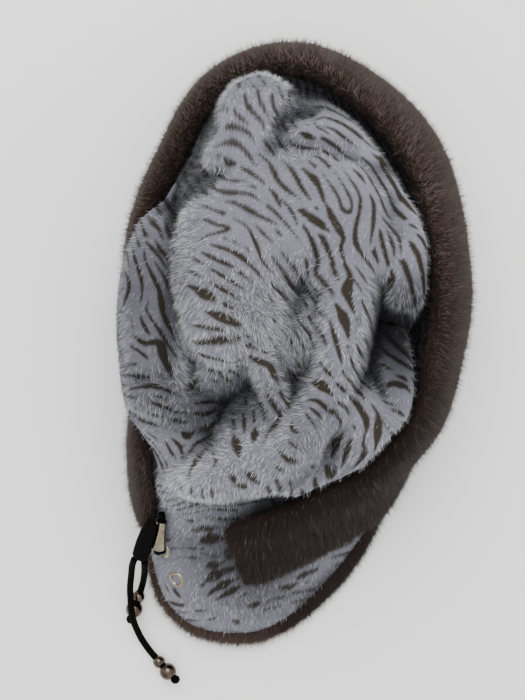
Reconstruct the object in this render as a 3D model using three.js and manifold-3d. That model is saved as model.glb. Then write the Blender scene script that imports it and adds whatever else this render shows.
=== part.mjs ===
// Soft fur hat that lies on a table with its crown slumped in folds: a striped crown of short fur,
// a dark fur band round the front and sides, a brown fur hem, and a drawstring at the back.
// Millimetres, +Z up, +Y towards the front of the hat. The hat stands on z = 0.
import * as THREE from 'three';
import { mergeVertices } from 'three/addons/utils/BufferGeometryUtils.js';
import Module from 'manifold-3d';

const wasm = await Module();
wasm.setup();

const part = new THREE.Group();
const hat = new THREE.Group();
part.add(hat);

// Sizes that the rest follows
const GAP = 0.3;
const BAND_GAP = 1.2;
const CLOTH = 4;
const HEM_HEIGHT = 12;
const HEM_BULGE_Z = 4;
const BAND_EDGE = 3;
const CORD_DIAMETER = 3.3;
const CORD_SIDES = 8;
const CORD_STEP = 2 * CORD_DIAMETER;
const EYELET_BORE = 4.6;
const EYELET_WALL = 1;
const EYELET_FLANGE = 9.2;
const EYELET_FLANGE_THICK = 0.9;
const EYELET_SEAT = 0.8;
const BEAD_SMALL = 6.2;
const BEAD_LARGE = 8.4;
const BORE = CORD_DIAMETER + 2 * GAP;
const KNOT = 4.6;
const STOPPER_LENGTH = 15;
const STOPPER_TOP = 5;
const STOPPER_WAIST = 5.8;
const STOPPER_MOUTH = 6.6;
const STOPPER_CUP = 4.8;
const STOPPER_LIP = 0.5;
const STOPPER_OVERHANG = 3.5;
const WRAP_WIDTH = 8.4;
const WRAP_THICK = 4.6;
const WRAP_ROUNDING = 1.2;

// The middle of the hat's outline, in the coordinates of the tables below
const MIDDLE = [1.1, 2.2];
hat.position.set(-MIDDLE[0], -MIDDLE[1], 0);

// Mesh fineness
const COLUMNS = 104;
const TOP_RINGS = 14;
const ROWS_PER_STRETCH = [2, 2, 2];
const BAND_STATIONS = 76;
const HEM_COLUMNS = 88;

// The wall, by direction round the hat: radius of the hem, of the wall on the hem, at the knee and at
// the rim, the knee's and the rim's heights, and how far the crown goes out past the rim and above it.
const WALL_COLUMNS = ['angle', 'hem', 'foot', 'knee', 'rim', 'knee_z', 'rim_z', 'out', 'up'];
const WALL_TABLE = [
  [0, 73, 69, 67, 57, 30, 60, -7, -13],
  [30, 86, 82, 81, 70, 30, 60, -7, -13],
  [45, 99, 95, 94, 83, 30, 60, -7, -13],
  [60, 117, 113, 112, 99, 30, 60, -7, -12],
  [75, 130, 126, 125, 114, 30, 60, -6, -6],
  [90, 138, 135, 134, 125, 30, 60, -4, 2],
  [105, 132, 128, 127, 120, 30, 60, -1, 5],
  [120, 112, 108, 106, 100, 30, 59, 1, 8],
  [135, 98, 94, 92, 87, 30, 58, 6, 11],
  [158, 81, 77, 75, 71, 30, 56, 14, 13],
  [180, 74, 70, 68, 64, 30, 54, 17, 13],
  [198, 77, 73, 71, 68, 28, 53, 13, 12],
  [214, 91, 87, 84, 79, 28, 53, 0, 5],
  [228, 112, 107, 102, 88, 28, 54, -3, 3],
  [240, 137, 132, 120, 83, 26, 54, -4, 2],
  [246, 145, 140, 126, 80, 25, 54, -4, 2],
  [252, 148, 142, 123, 76, 24, 53, -4, 1],
  [264, 143, 135, 105, 68, 24, 53, -5, -1],
  [280, 119, 109, 87, 61, 24, 54, -6, -4],
  [300, 90, 83, 74, 59, 26, 56, -6, -9],
  [315, 77, 69, 66, 57, 28, 58, -7, -11],
  [330, 73, 68, 66, 57, 29, 59, -7, -12],
];

// Puffed folds of the slumped crown: place, turn of the long axis, half sizes, height of the middle,
// fall at the edge, and slope along and across the long axis.
const FOLD_COLUMNS = ['x', 'y', 'turn', 'long', 'wide', 'top', 'fall', 'rise', 'lean'];
const FOLD_TABLE = {
  panel_front: [6, 62, 0, 35, 23, 101, 7, -0.02, 0],
  panel_left: [-26, 38, 91, 34, 22, 102, 7, 0.03, 0.05],
  panel_right: [17, 53, 10, 25, 21, 102, 7, -0.05, 0.02],
  front_left: [-22, 98, 62, 22, 17, 95, 7, 0, 0.05],
  front_right: [19, 91, -22, 27, 12, 92, 7, -0.1, 0.1],
  left: [-64, 21, 94, 44, 15, 79, 7, 0, -0.3],
  right: [45, 45, -80, 24, 11, 89, 7, 0, -0.1],
  ridge_centre: [19, 11, 80, 35, 10, 98, 7, 0.1, 0],
  valley: [-3, 8, 84, 25, 14, 88, 7, 0.15, 0],
  ridge_hollow: [-13, -9, 110, 21, 6, 93, 7, 0, 0],
  hollow_floor: [-30, -10, 20, 17, 11, 73, 6, 0, 0.3],
  hollow_low: [-34, -27, 0, 14, 9, 60, 6, 0, 0],
  fold_left: [-58, -21, -17, 25, 9, 75, 7, 0, 0],
  left_low: [-55, -37, -30, 22, 15, 66, 7, 0, 0],
  roll_high: [3, -27, 61, 25, 10, 92, 7, 0.05, 0],
  roll_low: [-27, -50, 18, 27, 11, 84, 7, 0.12, 0],
  between: [-19, -32, 50, 17, 12, 82, 7, 0.1, 0],
  back_right: [30, -33, -55, 23, 15, 82, 7, 0, 0],
  back_step: [14, -48, 38, 23, 12, 74, 7, 0, 0],
  tube_right: [41, -12, 88, 20, 7, 80, 7, 0, 0],
  bump: [-44, -60, 20, 15, 11, 74, 7, 0, 0],
  back_slope: [-28, -68, 22, 34, 17, 62, 7, 0, 0.3],
};
const CROWN_FLOOR = 46;
const FOLD_POWER = 3.8;
const FOLD_ROUNDNESS = 2.5;
const FOLD_BLEND = 2.5;
const LIP_BLEND = 0.14;

// The band, by direction round the hat: how far its top edge lies behind its lower edge, the heights of
// both edges, its thickness, and how far its top leans in over the crown.
const BAND_COLUMNS = ['angle', 'skew', 'low_z', 'top_z', 'thick', 'lean'];
const BAND_TABLE = [
  [-104, 11, 30, 60, 7, 0],
  [-80, 4, 25, 62, 9, 1],
  [-55, 0, 18, 66, 10, 2],
  [-20, 0, 12, 71, 11, 4],
  [20, 0, 12, 73, 12, 5],
  [60, 0, 12, 73, 12, 5],
  [95, 0, 12, 70, 12, 2],
  [130, 0, 12, 62, 11, -2],
  [180, 0, 12, 57, 10, -3],
  [212, 0, 14, 57, 9, 0],
  [222, 0, 16, 52, 8, 0],
  [230, 0, 20, 41, 6, 0],
];

// Where the drawstring comes out: direction round the hat and height on the wall
const EYELETS = {
  eyelet_left: { angle: 236.1, z: 28 },
  eyelet_right: { angle: 242.3, z: 26 },
};

// The drawstring as it lies: from inside the hat through the left eyelet and the stopper to the wrap,
// and from the wrap down to the table, where the long tail passes over the short tail's large bead
const CORD_ROUTES = {
  cord_loop: [
    [-56.8, -91.1, 22.5], [-59.7, -92.4, 25], [-61.8, -93.3, 26.9], [-63.9, -94.2, 28.8],
    [-65.6, -93.9, 32.2], [-65.1, -91.8, 35.4], [-64.1, -88.4, 37.4], [-62.9, -79.5, 41.6],
    [-62.5, -76.5, 43], [-62.6, -74, 44.9],
  ],
  cord_long: [
    [-76.8, -98, 28.6], [-78.4, -102, 23], [-79.6, -108, 16.5], [-80.6, -115, 12],
    [-80.5, -121.3, 10.7], [-79.9, -127.5, 10.9], [-79.2, -131.5, 10], [-77.9, -136.6, 6.4],
    [-75.6, -142.5, 3], [-72, -148, 2.2], [-68.8, -151.6, 2.8], [-67, -153.6, 3.2],
    [-62.7, -158, 4.3], [-60.7, -160, 4.7],
  ],
  cord_short: [
    [-72, -99.2, 28.6], [-72.6, -103, 22], [-73.6, -108.4, 12.8], [-75, -114, 6],
    [-76.2, -117.8, 4.2], [-77.3, -120.9, 4.1], [-79.4, -127, 4.2], [-80.3, -129.7, 4.2],
  ],
};

// The beads and the knot at the end of each tail, by the distance back from the tail's end
const TAILS = {
  long: { route: 'cord_long', small: 9.3, large: 2.8 },
  short: { route: 'cord_short', small: 9.3, large: 2.8 },
};
const WRAP_TOP = [-66.4, -76.6, 49];
const WRAP_FOOT = [-74.5, -98.2, 29.4];

function rows(table, columns) {
  return table.map((row) => Object.fromEntries(columns.map((name, i) => [name, row[i]])));
}

const WALL_ROWS = rows(WALL_TABLE, WALL_COLUMNS);
const FOLDS = rows(Object.values(FOLD_TABLE), FOLD_COLUMNS);
const BAND_ROWS = rows(BAND_TABLE, BAND_COLUMNS);

const radians = (degrees) => (degrees * Math.PI) / 180;
const mix = (a, b, t) => a + (b - a) * t;
const clamp = (x, low, high) => Math.min(high, Math.max(low, x));

function smooth(t) {
  const x = clamp(t, 0, 1);
  return x * x * (3 - 2 * x);
}

// A smooth curve through four values v at the places x, read between the second and the third
function through(x, v, at) {
  const span = x[2] - x[1];
  const slopeIn = (v[2] - v[0]) / (x[2] - x[0]);
  const slopeOut = (v[3] - v[1]) / (x[3] - x[1]);
  const t = (at - x[1]) / span;
  const t2 = t * t;
  const t3 = t2 * t;
  return (2 * t3 - 3 * t2 + 1) * v[1] + (t3 - 2 * t2 + t) * span * slopeIn
    + (3 * t2 - 2 * t3) * v[2] + (t3 - t2) * span * slopeOut;
}

function wallAt(angle, column) {
  const a = ((angle % 360) + 360) % 360;
  const n = WALL_ROWS.length;
  let i = n - 1;
  while (WALL_ROWS[i].angle > a) {
    i -= 1;
  }
  const near = [i - 1, i, i + 1, i + 2].map((k) => ({
    place: WALL_ROWS[(k + n) % n].angle + 360 * Math.floor(k / n),
    value: WALL_ROWS[(k + n) % n][column],
  }));
  return through(near.map((p) => p.place), near.map((p) => p.value), a);
}

function bandAt(angle, column) {
  const n = BAND_ROWS.length;
  let i = 0;
  while (i < n - 2 && BAND_ROWS[i + 1].angle < angle) {
    i += 1;
  }
  const near = [i - 1, i, i + 1, i + 2].map((k) => BAND_ROWS[clamp(k, 0, n - 1)]);
  const place = near.map((row) => row.angle);
  if (i === 0) {
    place[0] -= 10;
  }
  if (i === n - 2) {
    place[3] += 10;
  }
  return through(place, near.map((row) => row[column]), angle);
}

// The wall's outer face in one direction: t is 0 on the hem, 1 at the knee, 2 at the rim, 3 at the lip
function wallCurve(angle) {
  const at = (column) => wallAt(angle, column);
  const z = [HEM_HEIGHT + GAP, at('knee_z'), at('rim_z'), at('rim_z') + at('up')];
  const r = [at('foot'), at('knee'), at('rim'), at('rim') + at('out')];
  const read = (values, t) => {
    const i = clamp(Math.floor(t), 0, 2);
    const ends = [2 * values[0] - values[1], ...values, 2 * values[3] - values[2]];
    return through([i - 1, i, i + 1, i + 2], ends.slice(i, i + 4), t);
  };
  return { point: (t) => ({ r: read(r, t), z: read(z, t) }) };
}

// The wall's outer radius at a height, and how far it goes in for each millimetre up
function wallRadius(angle, height) {
  const curve = wallCurve(angle);
  const steps = 24;
  let low = curve.point(0);
  for (let i = 1; i <= steps; i += 1) {
    const high = curve.point((3 * i) / steps);
    if (high.z >= height || i === steps) {
      const slope = (high.r - low.r) / Math.max(high.z - low.z, 0.2);
      const z = Math.min(height, Math.max(high.z, low.z));
      return { r: low.r + slope * (z - low.z), slope };
    }
    if (high.z > low.z) {
      low = high;
    }
  }
  return { r: low.r, slope: 0 };
}

function foldHeight(x, y, fold) {
  const turn = radians(fold.turn);
  const dx = x - fold.x;
  const dy = y - fold.y;
  const along = dx * Math.cos(turn) + dy * Math.sin(turn);
  const across = dy * Math.cos(turn) - dx * Math.sin(turn);
  const reach = Math.abs(along / fold.long) ** FOLD_ROUNDNESS
    + Math.abs(across / fold.wide) ** FOLD_ROUNDNESS;
  const middle = fold.top + fold.rise * along + fold.lean * across;
  return middle - fold.fall * reach ** (FOLD_POWER / FOLD_ROUNDNESS);
}

// The crown's top: the folds and the floor between them, joined with rounded valleys
function crownHeight(x, y) {
  const heights = [CROWN_FLOOR, ...FOLDS.map((fold) => foldHeight(x, y, fold))];
  const most = Math.max(...heights);
  const sum = heights.reduce((total, h) => total + Math.exp((h - most) / FOLD_BLEND), 0);
  return most + FOLD_BLEND * Math.log(sum);
}

function topHeight(angle, r) {
  const lip = wallCurve(angle).point(3);
  const a = radians(angle);
  const inside = smooth((1 - r / lip.r) / LIP_BLEND);
  return mix(lip.z, crownHeight(r * Math.cos(a), r * Math.sin(a)), inside);
}

function onRing(angle, r, z) {
  const a = radians(angle);
  return [r * Math.cos(a), r * Math.sin(a), z];
}

// Collects rings of points and the triangles between them
function shell() {
  const points = [];
  const faces = [];
  const add = (ring) => {
    const start = points.length;
    points.push(...ring);
    return { start, count: ring.length };
  };
  // Joins two closed rings, which may have different numbers of points
  const join = (a, b, flip) => {
    let i = 0;
    let j = 0;
    while (i < a.count || j < b.count) {
      const stepA = j >= b.count || (i < a.count && (i + 1) / a.count <= (j + 1) / b.count);
      const p = a.start + (i % a.count);
      const q = b.start + (j % b.count);
      const next = stepA ? a.start + ((i + 1) % a.count) : b.start + ((j + 1) % b.count);
      if (p !== q && next !== p && next !== q) {
        faces.push(flip ? [p, q, next] : [p, next, q]);
      }
      i += stepA ? 1 : 0;
      j += stepA ? 0 : 1;
    }
  };
  const geometry = () => {
    const made = new THREE.BufferGeometry();
    made.setAttribute('position', new THREE.Float32BufferAttribute(points.flat(), 3));
    made.setIndex(faces.flat());
    return made;
  };
  return { add, join, geometry };
}

const columnAngle = (i, count) => (360 * i) / count;

// One side of the crown, inside or outside, from the hem up over the wall to the middle of the top
function crownSide(body, outside) {
  const rings = [];
  ROWS_PER_STRETCH.forEach((count, stretch) => {
    for (let k = stretch === 0 ? 0 : 1; k <= count; k += 1) {
      rings.push(stretch + k / count);
    }
  });
  const wall = rings.map((t) => body.add(Array.from({ length: COLUMNS }, (_, i) => {
    const angle = columnAngle(i, COLUMNS);
    const p = wallPoint(angle, t, outside ? 0 : CLOTH);
    return onRing(angle, p.r, p.z);
  })));
  const top = [];
  for (let k = TOP_RINGS - 1; k > 0; k -= 1) {
    const count = 8 * k;
    top.push(body.add(Array.from({ length: count }, (_, i) => {
      const angle = columnAngle(i, count);
      const r = (wallPoint(angle, 3, outside ? 0 : CLOTH).r * k) / TOP_RINGS;
      return onRing(angle, r, topHeight(angle, r) - (outside ? 0 : clothBelow(angle, r)));
    })));
  }
  top.push(body.add([[0, 0, topHeight(0, 0) - (outside ? 0 : clothBelow(0, 0))]]));
  const all = [...wall, ...top];
  all.slice(1).forEach((ring, i) => body.join(all[i], ring, !outside));
  return wall[0];
}

// A point of the wall, moved in from the outer face by a thickness
function wallPoint(angle, t, inset) {
  const curve = wallCurve(angle);
  const p = curve.point(t);
  if (inset === 0) {
    return p;
  }
  const ahead = curve.point(Math.min(t + 0.05, 3));
  const behind = curve.point(Math.max(t - 0.05, 0));
  const dr = ahead.r - behind.r;
  const dz = ahead.z - behind.z;
  const size = Math.hypot(dr, dz);
  if (t === 0) {
    return { r: p.r - inset * clamp(size / Math.max(dz, 0.01), 1, 2.4), z: p.z };
  }
  return { r: p.r - (inset * dz) / size, z: p.z + (inset * dr) / size };
}

// How far the inner face of the top lies below its outer face
function clothBelow(angle, r) {
  const a = radians(angle);
  const x = r * Math.cos(a);
  const y = r * Math.sin(a);
  const step = 1.5;
  const gx = (crownHeight(x + step, y) - crownHeight(x - step, y)) / (2 * step);
  const gy = (crownHeight(x, y + step) - crownHeight(x, y - step)) / (2 * step);
  return CLOTH * Math.min(Math.hypot(1, gx, gy), 2.2);
}

function solidOf(geometry) {
  const bare = geometry.clone();
  bare.deleteAttribute('normal');
  bare.deleteAttribute('uv');
  const merged = mergeVertices(bare, 1e-4);
  return new wasm.Manifold(new wasm.Mesh({
    numProp: 3,
    vertProperties: Float32Array.from(merged.getAttribute('position').array),
    triVerts: Uint32Array.from(merged.getIndex().array),
  }));
}

function geometryOf(solid) {
  const mesh = solid.getMesh();
  const geometry = new THREE.BufferGeometry();
  geometry.setAttribute('position', new THREE.Float32BufferAttribute(mesh.vertProperties, 3));
  geometry.setIndex(Array.from(mesh.triVerts));
  return geometry;
}

// Where an eyelet sits: a point on the wall's outer face, and the direction out of it
function eyeletPlace({ angle, z }) {
  const step = 3;
  const at = (a, height) => new THREE.Vector3(...onRing(a, wallRadius(a, height).r, height));
  const point = at(angle, z);
  const round = at(angle + step, z).sub(at(angle - step, z));
  const up = at(angle, z + step).sub(at(angle, z - step));
  return { point, out: round.cross(up).normalize() };
}

function turned(geometry, point, direction) {
  const toDirection = new THREE.Quaternion().setFromUnitVectors(new THREE.Vector3(0, 1, 0), direction);
  geometry.applyQuaternion(toDirection);
  geometry.translate(point.x, point.y, point.z);
  return geometry;
}

function lathe(profile, segments) {
  return new THREE.LatheGeometry(profile.map(([r, y]) => new THREE.Vector2(r, y)), segments);
}

function makeCrown() {
  const body = shell();
  const outer = crownSide(body, true);
  const inner = crownSide(body, false);
  body.join(outer, inner, true);
  let solid = solidOf(body.geometry());
  for (const eyelet of Object.values(EYELETS)) {
    const { point, out } = eyeletPlace(eyelet);
    const barrel = EYELET_BORE / 2 + EYELET_WALL + GAP;
    const flange = EYELET_FLANGE / 2 + GAP;
    const hole = new THREE.CylinderGeometry(barrel, barrel, 4 * CLOTH, 16);
    const seat = new THREE.CylinderGeometry(flange, flange, CLOTH, 16);
    seat.translate(0, CLOTH / 2 - EYELET_SEAT, 0);
    const back = new THREE.CylinderGeometry(flange, flange, CLOTH, 16);
    back.translate(0, -CLOTH / 2 - CLOTH + EYELET_SEAT, 0);
    for (const cutter of [hole, seat, back]) {
      solid = solid.subtract(solidOf(turned(cutter, point, out)));
    }
  }
  return geometryOf(solid);
}

function makeEyelet(name) {
  const { point, out } = eyeletPlace(EYELETS[name]);
  const front = -EYELET_SEAT + GAP;
  const back = -CLOTH + EYELET_SEAT - GAP;
  const inner = EYELET_BORE / 2;
  const barrel = inner + EYELET_WALL;
  const rim = EYELET_FLANGE / 2;
  const profile = [
    [inner, back - EYELET_FLANGE_THICK],
    [rim, back - EYELET_FLANGE_THICK],
    [rim, back],
    [barrel, back],
    [barrel, front],
    [rim, front],
    [rim - 0.6, front + EYELET_FLANGE_THICK],
    [inner + 0.5, front + EYELET_FLANGE_THICK + 0.2],
    [inner, front + 0.4],
    [inner, back - EYELET_FLANGE_THICK],
  ];
  return turned(lathe(profile, 16), point, out);
}

function makeHem() {
  const body = shell();
  const count = HEM_COLUMNS;
  const ring = (at) => body.add(Array.from({ length: count }, (_, i) => {
    const angle = columnAngle(i, count);
    const [r, z] = at({
      hem: wallAt(angle, 'hem'),
      foot: wallAt(angle, 'foot'),
      inner: wallPoint(angle, 0, CLOTH).r,
    });
    return onRing(angle, r, z);
  }));
  const rings = [
    ring(({ inner }) => [inner, 0]),
    ring(({ hem }) => [hem - 3, 0]),
    ring(({ hem }) => [hem, HEM_BULGE_Z]),
    ring(({ hem, foot }) => [mix(hem, foot, 0.35), 8]),
    ring(({ foot }) => [foot, HEM_HEIGHT]),
    ring(({ inner }) => [inner, HEM_HEIGHT]),
  ];
  rings.forEach((a, i) => body.join(a, rings[(i + 1) % rings.length], false));
  return body.geometry();
}

// A place beside the wall: out from it, square to its run, at a height that is read at most at the rim
function besideWall(angle, height, distance, past) {
  const wall = wallRadius(angle, Math.min(height, wallAt(angle, 'rim_z')));
  const step = 2;
  const read = (a) => wallRadius(a, Math.min(height, wallAt(a, 'rim_z'))).r;
  const turn = (read(angle + step) - read(angle - step)) / radians(2 * step);
  const a = radians(angle);
  const run = new THREE.Vector2(
    turn * Math.cos(a) - wall.r * Math.sin(a),
    turn * Math.sin(a) + wall.r * Math.cos(a),
  ).normalize();
  const slope = (wall.slope * wall.r) / Math.hypot(turn, wall.r);
  const away = distance * clamp(Math.hypot(1, slope), 1, 1.7) + past;
  return [wall.r * Math.cos(a) + run.y * away, wall.r * Math.sin(a) - run.x * away, height];
}

// The band's section in one direction, from its lower inner edge up, over the top and down outside
function bandSection(angle) {
  const at = (column) => bandAt(angle, column);
  const low = at('low_z');
  const top = at('top_z');
  const point = (z, share) => {
    const turned = angle - (at('skew') * (z - low)) / (top - low);
    const rim = wallAt(turned, 'rim_z');
    const lean = z > rim ? (at('lean') * (z - rim)) / Math.max(top - rim, 1) : 0;
    return besideWall(turned, z, BAND_GAP + at('thick') * share, -lean);
  };
  const levels = [low + BAND_EDGE, mix(low, top, 0.35), mix(low, top, 0.7), top - BAND_EDGE];
  return [
    ...levels.map((z) => point(z, 0)),
    point(top, 0.3),
    point(top, 0.7),
    ...[...levels].reverse().map((z) => point(z, 1)),
    point(low, 0.7),
    point(low, 0.3),
  ];
}

function makeBand() {
  const body = shell();
  const first = BAND_ROWS[0].angle;
  const last = BAND_ROWS[BAND_ROWS.length - 1].angle;
  const sections = Array.from({ length: BAND_STATIONS }, (_, i) => (
    body.add(bandSection(mix(first, last, i / (BAND_STATIONS - 1))))
  ));
  sections.slice(1).forEach((section, i) => body.join(sections[i], section, false));
  const cap = (angle, section, flip) => {
    const points = bandSection(angle);
    const middle = [0, 1, 2].map((k) => points.reduce((sum, p) => sum + p[k], 0) / points.length);
    body.join(section, body.add([middle]), flip);
  };
  cap(first, sections[0], true);
  cap(last, sections[BAND_STATIONS - 1], false);
  return body.geometry();
}

function routeOf(name) {
  return new THREE.CatmullRomCurve3(CORD_ROUTES[name].map((p) => new THREE.Vector3(...p)));
}

function makeCord(name) {
  const route = routeOf(name);
  const section = new THREE.Shape(Array.from({ length: CORD_SIDES }, (_, i) => {
    const a = (2 * Math.PI * i) / CORD_SIDES;
    return new THREE.Vector2(Math.cos(a), Math.sin(a)).multiplyScalar(CORD_DIAMETER / 2);
  }));
  return new THREE.ExtrudeGeometry(section, {
    extrudePath: route,
    steps: Math.ceil(route.getLength() / CORD_STEP),
    curveSegments: 1,
    bevelEnabled: false,
  });
}

// A point of a route, so far back from its end, and the way the cord runs there
function onTail(name, back) {
  const route = routeOf(name);
  const share = 1 - back / route.getLength();
  return { point: route.getPointAt(share), along: route.getTangentAt(share) };
}

// A ball with a hole along its Y axis
function makeBead(diameter, { point, along }) {
  const edge = Math.acos(BORE / diameter);
  const turns = 6;
  const profile = Array.from({ length: turns + 1 }, (_, i) => {
    const a = mix(-edge, edge, i / turns);
    return [(diameter / 2) * Math.cos(a), (diameter / 2) * Math.sin(a)];
  });
  profile.push(profile[0]);
  return turned(lathe(profile, 14), point, along);
}

// The knot that keeps the beads on: a ball drawn up against the large bead's bore
function makeKnot({ route, large }) {
  const { point, along } = onTail(route, 0);
  const reach = Math.sqrt(BEAD_LARGE ** 2 - BORE ** 2) / 2;
  const nested = Math.sqrt((KNOT / 2 + GAP) ** 2 - (BORE / 2) ** 2);
  const ball = new THREE.SphereGeometry(KNOT / 2, 10, 7);
  return turned(ball, point.addScaledVector(along, reach + nested - large), along);
}

// The bell on the cord, wide at the end that faces the eyelet
function makeStopper() {
  const route = CORD_ROUTES.cord_loop.map((p) => new THREE.Vector3(...p));
  const mouth = route[6];
  const along = route[7].clone().sub(mouth).normalize();
  const profile = [
    [STOPPER_MOUTH / 2 - STOPPER_LIP, 0],
    [STOPPER_MOUTH / 2, 0],
    [STOPPER_MOUTH / 2, 2 * STOPPER_LIP],
    [STOPPER_WAIST / 2, STOPPER_LENGTH * 0.35],
    [STOPPER_TOP / 2, STOPPER_LENGTH * 0.7],
    [STOPPER_TOP / 2, STOPPER_LENGTH],
    [BORE / 2, STOPPER_LENGTH],
    [BORE / 2, STOPPER_LENGTH * 0.5],
    [STOPPER_CUP / 2, STOPPER_LENGTH * 0.3],
    [STOPPER_MOUTH / 2 - STOPPER_LIP, 0],
  ];
  return turned(lathe(profile, 16), mouth.clone().addScaledVector(along, -STOPPER_OVERHANG), along);
}

// The black wrap that binds the doubled cord, flat and wide with round ends
function makeWrap() {
  const top = new THREE.Vector3(...WRAP_TOP);
  const foot = new THREE.Vector3(...WRAP_FOOT);
  const along = top.clone().sub(foot);
  const length = along.length();
  const half = WRAP_THICK / 2;
  const profile = [
    [0, 0],
    [half * 0.8, 0],
    [half, WRAP_ROUNDING],
    [half * 0.85, length * 0.6],
    [half * 0.75, length - WRAP_ROUNDING],
    [half * 0.4, length],
    [0, length],
  ];
  const wrap = lathe(profile, 14).scale(WRAP_WIDTH / WRAP_THICK, 1, 1);
  along.normalize();
  const wide = new THREE.Vector3(-along.y, along.x, 0).normalize();
  wrap.applyMatrix4(new THREE.Matrix4().makeBasis(wide, along, wide.clone().cross(along)));
  wrap.translate(foot.x, foot.y, foot.z);
  return wrap;
}

function material(color, roughness, metalness) {
  return new THREE.MeshStandardMaterial({ color, roughness, metalness });
}

const greyFur = material('#a5a5ac', 0.95, 0);
const darkFur = material('#3c302d', 0.95, 0);
const brownFur = material('#5a4b46', 0.95, 0);
const paleMetal = material('#c8c3b4', 0.3, 1);
const bronze = material('#6b5348', 0.25, 1);
const blackCord = material('#17171a', 0.8, 0);

function addPart(name, geometry, look) {
  const mesh = new THREE.Mesh(geometry, look);
  mesh.name = name;
  hat.add(mesh);
}

addPart('crown', makeCrown(), greyFur);
addPart('brim_band', makeBand(), darkFur);
addPart('hem', makeHem(), brownFur);
addPart('eyelet_left', makeEyelet('eyelet_left'), paleMetal);
addPart('eyelet_right', makeEyelet('eyelet_right'), paleMetal);
addPart('cord_stopper', makeStopper(), paleMetal);
addPart('cord_wrap', makeWrap(), blackCord);
for (const name of Object.keys(CORD_ROUTES)) {
  addPart(name, makeCord(name), blackCord);
}
for (const [tail, place] of Object.entries(TAILS)) {
  addPart(`bead_${tail}_small`, makeBead(BEAD_SMALL, onTail(place.route, place.small)), bronze);
  addPart(`bead_${tail}_large`, makeBead(BEAD_LARGE, onTail(place.route, place.large)), bronze);
  addPart(`end_knot_${tail}`, makeKnot(place), blackCord);
}

export default part;
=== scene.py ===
"""The looks of a soft fur hat that lies with its crown slumped in folds: striped short fur, a dark fur
band, a brown fur hem, and a drawstring with a stopper and beads. Metres, in the frame of the solids."""

import math

import bpy
import numpy as np
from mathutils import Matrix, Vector
from mathutils.bvhtree import BVHTree


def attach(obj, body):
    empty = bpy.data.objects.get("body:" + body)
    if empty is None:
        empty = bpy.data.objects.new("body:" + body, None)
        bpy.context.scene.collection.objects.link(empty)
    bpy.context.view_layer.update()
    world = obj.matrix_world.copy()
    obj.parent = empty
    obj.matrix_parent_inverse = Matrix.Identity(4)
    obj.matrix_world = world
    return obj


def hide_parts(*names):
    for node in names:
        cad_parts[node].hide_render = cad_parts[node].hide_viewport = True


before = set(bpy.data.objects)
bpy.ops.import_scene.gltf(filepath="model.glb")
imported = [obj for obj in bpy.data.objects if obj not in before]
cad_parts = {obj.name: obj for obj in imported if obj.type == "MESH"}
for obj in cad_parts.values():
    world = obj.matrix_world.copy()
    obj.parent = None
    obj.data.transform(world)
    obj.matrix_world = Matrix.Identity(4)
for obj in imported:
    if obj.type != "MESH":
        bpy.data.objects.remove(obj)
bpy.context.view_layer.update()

# Sizes below are millimetres in the frame of the tables, in which the middle of the outline is at MIDDLE
MM = 0.001
MIDDLE = np.array([1.1, 2.2, 0.0])
GAP = 0.3
BAND_GAP = 1.2
CLOTH = 4.0
HEM_HEIGHT = 12.0
HEM_BULGE_Z = 4.0
BAND_EDGE = 3.0
CORD_DIAMETER = 3.3
EYELET_BORE = 4.6
EYELET_WALL = 1.0
EYELET_FLANGE = 9.2
EYELET_FLANGE_THICK = 0.9
EYELET_SEAT = 0.8
BEAD_SMALL = 6.2
BEAD_LARGE = 8.4
BORE = CORD_DIAMETER + 2 * GAP
KNOT = 4.6
STOPPER_LENGTH = 15.0
STOPPER_TOP = 5.0
STOPPER_WAIST = 5.8
STOPPER_MOUTH = 6.6
STOPPER_CUP = 4.8
STOPPER_LIP = 0.5
STOPPER_OVERHANG = 3.5
WRAP_WIDTH = 8.4
WRAP_THICK = 4.6
WRAP_ROUNDING = 1.2

# The photograph's frame in pixels, and the camera straight above the hat
FRAME_WIDE, FRAME_HIGH = 525, 700
FOCAL = 1240
CAMERA_AT = np.array([-15.7, 1.6, 620.0])
SENSOR = 36.0

# The floor, and lamps: each lamp's place and size in metres, and its power
FLOOR_HALF = 3000.0
LAMPS = {"window": ((-0.1, 0.85, 1.3), 1.3, 18.0), "fill": ((0.3, -0.1, 1.6), 1.4, 4.0)}

# The wall in each direction: radii of the hem, its foot, the knee and the rim, heights of the knee and
# the rim, and how far the lip lies out from the rim and above it
WALL_COLUMNS = ["angle", "hem", "foot", "knee", "rim", "knee_z", "rim_z", "out", "up"]
WALL_TABLE = np.array([
    [0, 73, 69, 67, 57, 30, 60, -7, -13],
    [30, 86, 82, 81, 70, 30, 60, -7, -13],
    [45, 99, 95, 94, 83, 30, 60, -7, -13],
    [60, 117, 113, 112, 99, 30, 60, -7, -12],
    [75, 130, 126, 125, 114, 30, 60, -6, -6],
    [90, 138, 135, 134, 125, 30, 60, -4, 2],
    [105, 132, 128, 127, 120, 30, 60, -1, 5],
    [120, 112, 108, 106, 100, 30, 59, 1, 8],
    [135, 98, 94, 92, 87, 30, 58, 6, 11],
    [158, 81, 77, 75, 71, 30, 56, 14, 13],
    [180, 74, 70, 68, 64, 30, 54, 17, 13],
    [198, 77, 73, 71, 68, 28, 53, 13, 12],
    [214, 91, 87, 84, 79, 28, 53, 0, 5],
    [228, 112, 107, 102, 88, 28, 54, -3, 3],
    [240, 137, 132, 120, 83, 26, 54, -4, 2],
    [246, 145, 140, 126, 80, 25, 54, -4, 2],
    [252, 148, 142, 123, 76, 24, 53, -4, 1],
    [264, 143, 135, 105, 68, 24, 53, -5, -1],
    [280, 119, 109, 87, 61, 24, 54, -6, -4],
    [300, 90, 83, 74, 59, 26, 56, -6, -9],
    [315, 77, 69, 66, 57, 28, 58, -7, -11],
    [330, 73, 68, 66, 57, 29, 59, -7, -12],
], float)

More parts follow.
